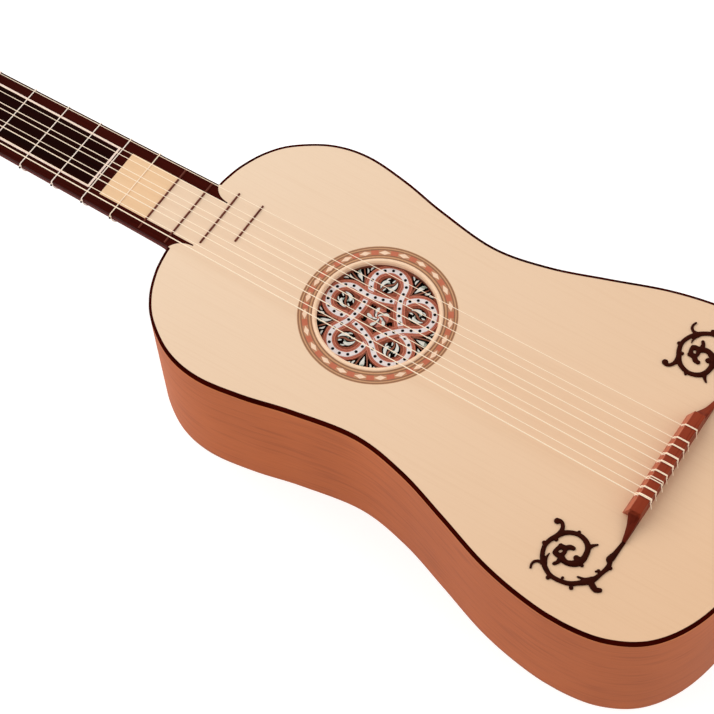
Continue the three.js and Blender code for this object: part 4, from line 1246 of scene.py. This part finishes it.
# The scroll's stem, leaves and knobs: towards the nut, outwards from the arm, and half the width,
# in shares of its reach
scroll = {
    "reach": 0.0464,
    "span": 0.1236,
    "armTip": 0.0027,
    "gap": 0.0003,
    "height": 0.002,
    "flatness": 0.55,
    "voxel": 0.00028,
    "knobLength": 0.001,
    "stem": [
        (0, 0, 0.032), (0.005, 0.1, 0.035), (0.012, 0.2, 0.042), (0.025, 0.29, 0.056), (0.028, 0.33, 0.056),
        (0.0, 0.38, 0.036), (-0.008, 0.45, 0.042), (0.01, 0.53, 0.035), (0.03, 0.6, 0.035),
        (0.05, 0.67, 0.04), (0.09, 0.74, 0.052), (0.15, 0.81, 0.048), (0.22, 0.87, 0.04), (0.3, 0.93, 0.04),
        (0.4, 0.965, 0.036), (0.52, 0.98, 0.036), (0.62, 0.97, 0.036), (0.7, 0.93, 0.038),
        (0.78, 0.87, 0.04), (0.85, 0.79, 0.038), (0.895, 0.7, 0.035), (0.915, 0.6, 0.036),
        (0.895, 0.5, 0.038), (0.855, 0.42, 0.043), (0.82, 0.35, 0.043), (0.76, 0.285, 0.04),
        (0.68, 0.24, 0.038), (0.59, 0.22, 0.037), (0.5, 0.235, 0.039), (0.42, 0.28, 0.043),
        (0.37, 0.35, 0.044), (0.35, 0.44, 0.044), (0.35, 0.52, 0.05), (0.38, 0.6, 0.058), (0.45, 0.66, 0.05),
        (0.53, 0.685, 0.044), (0.6, 0.665, 0.05), (0.64, 0.63, 0.045),
    ],
    "leaves": [
        [(0.83, 0.36, 0.045), (0.835, 0.27, 0.035), (0.87, 0.2, 0.03), (0.92, 0.172, 0.032),
         (0.962, 0.195, 0.05)],
        [(0.79, 0.87, 0.035), (0.86, 0.872, 0.026), (0.91, 0.91, 0.023), (0.922, 0.965, 0.02),
         (0.905, 1.02, 0.018)],
        [(0.09, 0.76, 0.05), (0.02, 0.805, 0.048), (-0.04, 0.83, 0.044), (-0.09, 0.805, 0.038)],
        [(0.38, 0.33, 0.045), (0.34, 0.265, 0.028), (0.29, 0.215, 0.016)],
        [(0.09, 0.72, 0.045), (0.17, 0.77, 0.027), (0.275, 0.79, 0.015)],
        [(0.75, 0.89, 0.035), (0.785, 0.81, 0.026), (0.8, 0.75, 0.018), (0.797, 0.69, 0.011)],
        [(0.64, 0.64, 0.045), (0.625, 0.56, 0.032), (0.64, 0.505, 0.04), (0.6, 0.455, 0.042),
         (0.55, 0.445, 0.036)],
        [(0.64, 0.5, 0.045), (0.705, 0.515, 0.045), (0.735, 0.57, 0.034), (0.73, 0.635, 0.042),
         (0.66, 0.645, 0.045)],
        [(0.62, 0.68, 0.04), (0.63, 0.745, 0.033), (0.66, 0.79, 0.028)],
        [(0.37, 0.56, 0.05), (0.44, 0.55, 0.045)],
    ],
    "knobs": [
        (-0.042, 0.435, 0.034), (0.075, 0.56, 0.03), (0.1, 0.585, 0.018), (0.61, 0.18, 0.026),
        (0.945, 0.585, 0.033), (0.62, 1.02, 0.034), (0.265, 0.985, 0.034), (0.312, 0.61, 0.028),
        (0.445, 0.915, 0.024), (0.822, 0.455, 0.03), (0.72, 0.5, 0.038), (0.745, 0.64, 0.03),
    ],
}


def makeScroll(side):
    originX = bridgeBack - scroll["armTip"] / 2
    originY = scroll["span"] / 2 + scroll["gap"]
    reach = scroll["reach"]
    knobs = [[(a, o, half), (a + scroll["knobLength"], o, half)] for a, o, half in scroll["knobs"]]
    parts = []
    for points in [scroll["stem"]] + scroll["leaves"] + knobs:
        placed = [(originX - a * reach, side * (originY + o * reach), half * reach) for a, o, half in points]
        line = smoothLine(placed, steps=4)
        flat = [(p.x, p.y, 0) for p in line]
        parts.append(makeCord("scroll_part", [flat], 1, fine=3, shares=[p.z for p in line]))
        for place in (line[0], line[-1]):
            bpy.ops.mesh.primitive_uv_sphere_add(segments=12, ring_count=8, radius=place.z,
                                                 location=(place.x, place.y, 0))
            parts.append(bpy.context.object)
    made = joinPieces("scroll", parts)
    takeUp(made)
    bpy.ops.object.transform_apply(location=True, rotation=True, scale=True)
    made.data.remesh_voxel_size = scroll["voxel"]
    bpy.ops.object.voxel_remesh()
    applyModifier(made, "SMOOTH", factor=0.5, iterations=3)
    made.data.transform(Matrix.Diagonal((1, 1, scroll["flatness"], 1)))
    highest = max(v.co.z for v in made.data.vertices)
    made.data.transform(Matrix.Translation((0, 0, topLevel + scroll["height"] - highest)))
    half, thick = body["lowerWidth"] / 2, scroll["height"] * 2
    sheet = [(0, -half), (2 * bridge["x"], -half), (2 * bridge["x"], half), (0, half)]
    return cutAway(made, makePlate("scrollCut", sheet, topLevel - thick, topLevel))


def makeBridge():
    block = copyNode("bridge_wood", "bridge", pierced=True)
    softenEdges(block, bridge["edge"], segments=2, angle=30)
    finishPiece(block, bridgeWood, nodes=["bridge"])
    for name, side in (("bass_scroll", -1), ("treble_scroll", 1)):
        made = makeScroll(side)
        made.name = name + "_wood"
        finishPiece(made, scrollWood, nodes=[name], smooth=60)


makeBridge()
print("bridge made")


# Head, pegs and the gut wound on them. The head leans back in its own frame
head = {
    "tilt": 10,
    "length": 0.178,
    "width": 0.073,
    "thickness": 0.014,
    "rise": 0.0012,
    "rowShare": 0.74,
    "firstShare": 0.191,
    "pitchShare": 0.146,
    "edge": 0.0008,
}
headPlace = Matrix.Translation((nutX - neck["nutThickness"] - neck["gap"], 0, plateBottom + head["rise"]))
headPlace = headPlace @ Matrix.Rotation(math.radians(-head["tilt"]), 4, "Y")
peg = {
    "atButton": 0.0041,
    "atTip": 0.0031,
    "standout": 0.014,
    "collar": 0.0056,
    "collarLength": 0.003,
    "neck": 0.003,
    "stem": 0.007,
    "profile": [
        # radius it follows, share of it, level it follows, how far past that level
        ("atTip", 0.6, "standout", 0),
        ("atTip", 1, "standout", 0.0008),
        ("shaft", 1, "behind", 0),
        ("collar", 0.9, "behind", 0.0002),
        ("collar", 1, "behind", 0.0009),
        ("collar", 0.94, "behind", 0.0018),
        ("collar", 0.7, "collarEnd", 0),
        ("neck", 0.95, "collarEnd", 0.0012),
        ("neck", 0.8, "collarEnd", 0.0035),
        ("neck", 1, "buttonStart", 0),
        ("neck", 0.9, "buttonStart", 0.003),
    ],
    "buttonWidth": 0.019,
    "buttonLength": 0.017,
    "buttonThickness": 0.006,
    "buttonEdge": 0.0019,
    "buttonHalf": [(0, 0), (0.3, -0.02), (0.62, 0.1), (0.86, 0.36), (0.84, 0.66), (0.56, 0.9), (0, 1)],
    "buttonFill": (0.98, 0.97),
    "windingLevel": 0.007,
    "windingWidth": 0.0044,
    "windingGap": 0.0004,
    "windingGut": 0.00042,
    "windingTurns": 4,
}
# At the nut and the bridge: the outermost string, the step between courses and the width of a pair
strings = {
    "courses": 5,
    "onTreble": 4,
    "trebleAtNut": 0.0244,
    "atNut": (0.0266, 0.01205, 0.0036),
    "atBridge": (0.0305, 0.01443, 0.0065),
    "radii": [0.00025, 0.00027, 0.00027, 0.00033, 0.00033, 0.00028, 0.00038, 0.0003, 0.00042],
    "clearance": 0.00035,
    "spread": 0.00004,
    "loose": {7: 0.0005},
    "overEdge": 1.6,
    "tail": 0.005,
}


def stringPlan():
    plan = []
    for course in range(strings["courses"]):
        for member in ([0] if course == 0 else [1, -1]):
            outer, pitch, pair = strings["atNut"]
            atNut = outer - course * pitch + member * pair / 2 if course else strings["trebleAtNut"]
            outer, pitch, pair = strings["atBridge"]
            atBridge = outer - course * pitch + member * pair / 2
            plan.append({"atNut": atNut, "atBridge": atBridge, "radius": strings["radii"][len(plan)]})
    for i, string in enumerate(plan):
        string["side"] = 1 if i < strings["onTreble"] else -1
        string["peg"] = i if i < strings["onTreble"] else len(plan) - 1 - i
        string["number"] = i + 1
        string["spread"] = strings["loose"].get(i + 1, strings["spread"])
    return plan


def pegAlong(string):
    return -(head["firstShare"] + string["peg"] * head["pitchShare"]) * head["length"]


def pegSpot(string):
    across = string["side"] * head["rowShare"] * head["width"] / 2
    return headPlace @ Matrix.Translation((pegAlong(string), across, 0))


def pegRadius(level):
    share = (level + head["thickness"]) / (head["thickness"] + peg["standout"])
    return peg["atButton"] + share * (peg["atTip"] - peg["atButton"])


def makePegShape():
    behind = -head["thickness"] - neck["gap"]
    collarEnd = behind - peg["collarLength"]
    buttonStart = collarEnd - peg["stem"]
    radii = {**peg, "shaft": pegRadius(behind)}
    levels = {**peg, "behind": behind, "collarEnd": collarEnd, "buttonStart": buttonStart}
    steps = [(radii[radius] * share, levels[level] - past) for radius, share, level, past in peg["profile"]]
    bpy.ops.mesh.primitive_circle_add(vertices=24, radius=steps[0][0], fill_type="NGON",
                                      location=(0, 0, steps[0][1]))
    shaft = bpy.context.object
    bpy.ops.object.transform_apply(location=True, rotation=True, scale=True)
    editAll(shaft)
    for (before, fromLevel), (after, toLevel) in zip(steps, steps[1:]):
        bpy.ops.mesh.extrude_region_move(TRANSFORM_OT_translate={"value": (0, 0, toLevel - fromLevel)})
        scale = after / before
        bpy.ops.transform.resize(value=(scale, scale, 1), center_override=(0, 0, toLevel))
    leaveEdit()
    width, length = peg["buttonWidth"] / 2, peg["buttonLength"]
    acrossFill, alongFill = peg["buttonFill"]
    side = [(width * x * acrossFill, buttonStart - length * z * alongFill) for x, z in peg["buttonHalf"]]
    outline = side + [(-x, z) for x, z in reversed(side[1:-1])]
    line = [(p.x, p.y) for p in smoothLine(outline, steps=4, closed=True)]
    button = makePlate("peg_button", line, -peg["buttonThickness"] / 2, peg["buttonThickness"] / 2)
    button.data.transform(Matrix.Rotation(math.radians(90), 4, "X"))
    softenEdges(button, peg["buttonEdge"], segments=4, angle=50)
    return joinPieces("peg_shape", [shaft, button])


def makeWindingShape():
    perTurn = 20
    thick = peg["windingGut"]
    low = peg["windingLevel"] - peg["windingWidth"] / 2 + thick
    high = peg["windingLevel"] + peg["windingWidth"] / 2 - thick
    count = peg["windingTurns"] * perTurn
    line = []
    for i in range(count + 1):
        level = low + (high - low) * i / count
        angle = 2 * math.pi * i / perTurn
        reach = pegRadius(level) + thick + peg["windingGap"]
        line.append((reach * math.cos(angle), reach * math.sin(angle), level))
    return makeCord("winding_shape", [line], thick, fine=1)


def makePegs():
    shape = makePegShape()
    coil = makeWindingShape()
    for string in stringPlan():
        number = string["number"]
        rides = "tuning_peg_%d" % number
        made = copyPiece(shape, "peg_%d_wood" % number, pegSpot(string))
        finishPiece(made, headWood, rides, ["peg_%d" % number])
        made = copyPiece(coil, "winding_%d_gut" % number, pegSpot(string))
        finishPiece(made, gutCord, rides, ["winding_%d" % number], 60)
    bpy.data.objects.remove(shape)
    bpy.data.objects.remove(coil)
    block = copyNode("head_wood", "head", pierced=True)
    softenEdges(block, head["edge"], segments=2, angle=60)
    finishPiece(block, headWood, nodes=["head"])


makePegs()
print("head and pegs made")


# Strings, from beside each peg, over the nut, through the bridge and round themselves
def bridgeFrontAt(level):
    slope = bridgeBack - bridge["top"] - bridgeFront
    return bridgeFront + ((level - topLevel) / bridge["height"]) * slope


def stringLine(string):
    radius = string["radius"]
    c = radius + strings["clearance"]
    row = head["rowShare"] * head["width"] / 2
    tangent = row - pegRadius(peg["windingLevel"]) - peg["windingGap"] - radius
    start = headPlace @ Vector((pegAlong(string), string["side"] * tangent, peg["windingLevel"]))
    nutLevel = topLevel + neck["nutStandout"] + radius + hairGap
    hole = topLevel + bridge["hole"]
    top = topLevel + bridge["height"]
    across = radius + string["spread"]
    beside = 2 * radius + strings["spread"]
    behind = bridgeBack + c
    topFront = bridgeBack - bridge["top"]
    knot = bridgeFrontAt(hole) - 2 * c
    upper = bridgeFrontAt(top) - strings["overEdge"] * c
    y = string["atBridge"]
    straight = [
        start,
        Vector((nutX - neck["nutThickness"] / 2, string["atNut"], nutLevel)),
        Vector((nutX - neck["nutThickness"] / 8, string["atNut"], nutLevel)),
        Vector((knot - 6 * c, y, hole)),
    ]
    knotted = [
        (knot, 0, hole),
        (behind - c, 0, hole),
        (behind, across / 2, hole + c / 2),
        (behind, across, hole + 2 * c),
        (behind, across, top),
        (behind - c, across, top + c),
        (topFront, across, top + c),
        (upper, across, top - c),
        (knot, beside, hole + c),
        (knot - c / 2, beside, hole - c),
        (knot - c / 2, 0, hole - beside),
        (knot - c / 2, -beside, hole - c),
        (knot, -beside, hole + c),
        (upper, -across, top - c),
        (topFront, -across, top + c),
        (behind - c, -across, top + c),
        (behind, -across, top),
        (behind, -beside, hole + 2 * c),
        (behind + c / 2, -beside - c / 2, hole),
        (behind + 2 * c, -beside - c, hole - strings["tail"]),
    ]
    return straight + smoothLine([(px, y + py, pz) for px, py, pz in knotted], steps=3)


def makeStrings():
    for string in stringPlan():
        number = string["number"]
        made = makeCord("string_%d_gut" % number, [stringLine(string)], string["radius"])
        finishPiece(made, gutCord, nodes=["string_%d" % number], smooth=60)


makeStrings()
print("strings made")


# Frets: gut tied round the neck, then wood glued down. The gut on the pale tongue is the warmer one
fret = {
    "gutCount": 8,
    "whiteCount": 7,
    "gutRadius": 0.00042,
    "gap": 0.0002,
    "bend": 0.0006,
    "bendIn": 0.0001,
    "seatShare": 0.9,
    "knotOut": 0.0007,
    "knotDrop": 0.0024,
    "knotSize": (0.0007, 0.0005, 0.0008),
    "knotShift": 0.0004,
    "knotShare": 0.8,
    "endStart": (-0.0002, -0.0001, 0.0001),
    "endStep": (0.0003, -0.0003, -0.0002),
    "endRadius": 0.0008,
    "endShares": [0.7, 1, 0.95, 0.5],
    "woodCount": 4,
    "woodEdge": 0.0002,
}
scaleLength = bridge["x"] - nutX


def fretX(number):
    return nutX + scaleLength * (1 - 2 ** (-number / 12))


def neckDepth(x):
    share = (x - nutX) / neck["length"]
    shaft = neck["depthAtNut"] + share * (neck["depthAtBody"] - neck["depthAtNut"])
    heel = max(0.0, 1 + (x - bodyFront) / neck["heel"])
    return shaft + (plateBottom - body["back"] - neck["depthAtBody"]) * heel ** 3


def makeGutFrets():
    for number in range(1, fret["gutCount"] + 1):
        x = fretX(number)
        radius = fret["gutRadius"]
        grow = radius + fret["gap"]
        half = neckHalf(x) + grow
        depth = neckDepth(x + radius) + grow
        steps = 24
        under = []
        for i in range(steps + 1):
            angle = math.pi * i / steps
            under.append((x, half * math.cos(angle), plateBottom - depth * math.sin(angle)))
        level = topLevel + radius * fret["seatShare"]
        bend = fret["bend"]
        edge = -half
        corner = [(x, edge, topLevel - bend), (x, edge + fret["bendIn"], topLevel), (x, edge + bend, level)]
        loop = under + corner + [(px, -py, pz) for px, py, pz in reversed(corner)]
        cord = makeCord("fret_cord", [loop], radius, closed=True)
        knotPlace = Vector((x, -half - fret["knotOut"], topLevel - fret["knotDrop"]))
        long, wide, high = fret["knotSize"]
        turns = []
        for i in range(steps + 1):
            angle = 4 * math.pi * i / steps
            across = wide * math.sin(angle) + fret["knotShift"]
            turns.append(knotPlace + Vector((long * math.cos(angle), across, high - 2 * high * i / steps)))
        knot = makeCord("fret_knot", [turns], radius * fret["knotShare"])
        joined = joinPieces("gut_fret_%d_cord" % number, [cord, knot])
        gut = fretCord if number <= fret["whiteCount"] else gutCord
        finishPiece(joined, gut, nodes=["gut_fret_%d" % number], smooth=60)
        tip = []
        for k in range(len(fret["endShares"])):
            tip.append(knotPlace + Vector([a + b * k for a, b in zip(fret["endStart"], fret["endStep"])]))
        end = makeCord("gut_fret_%d_end" % number, [tip], fret["endRadius"], shares=fret["endShares"])
        finishPiece(end, burntGut, smooth=60)


def makeWoodFrets():
    for number in range(fret["gutCount"] + 1, fret["gutCount"] + fret["woodCount"] + 1):
        strip = copyNode("wood_fret_%d_strip" % number, "wood_fret_%d" % number)
        softenEdges(strip, fret["woodEdge"], segments=2, angle=30)
        finishPiece(strip, fretWood, nodes=["wood_fret_%d" % number])


makeGutFrets()
makeWoodFrets()
print("frets made")


# What stays hidden inside keeps its CAD shape
def dressHidden():
    inside = ["neck_block", "tail_block", "upper_soundboard_brace", "lower_soundboard_brace", "back_brace"]
    for node in inside:
        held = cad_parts[node]
        held.data.materials.clear()
        held.data.materials.append(innerSpruce)


dressHidden()

print("all pieces made")
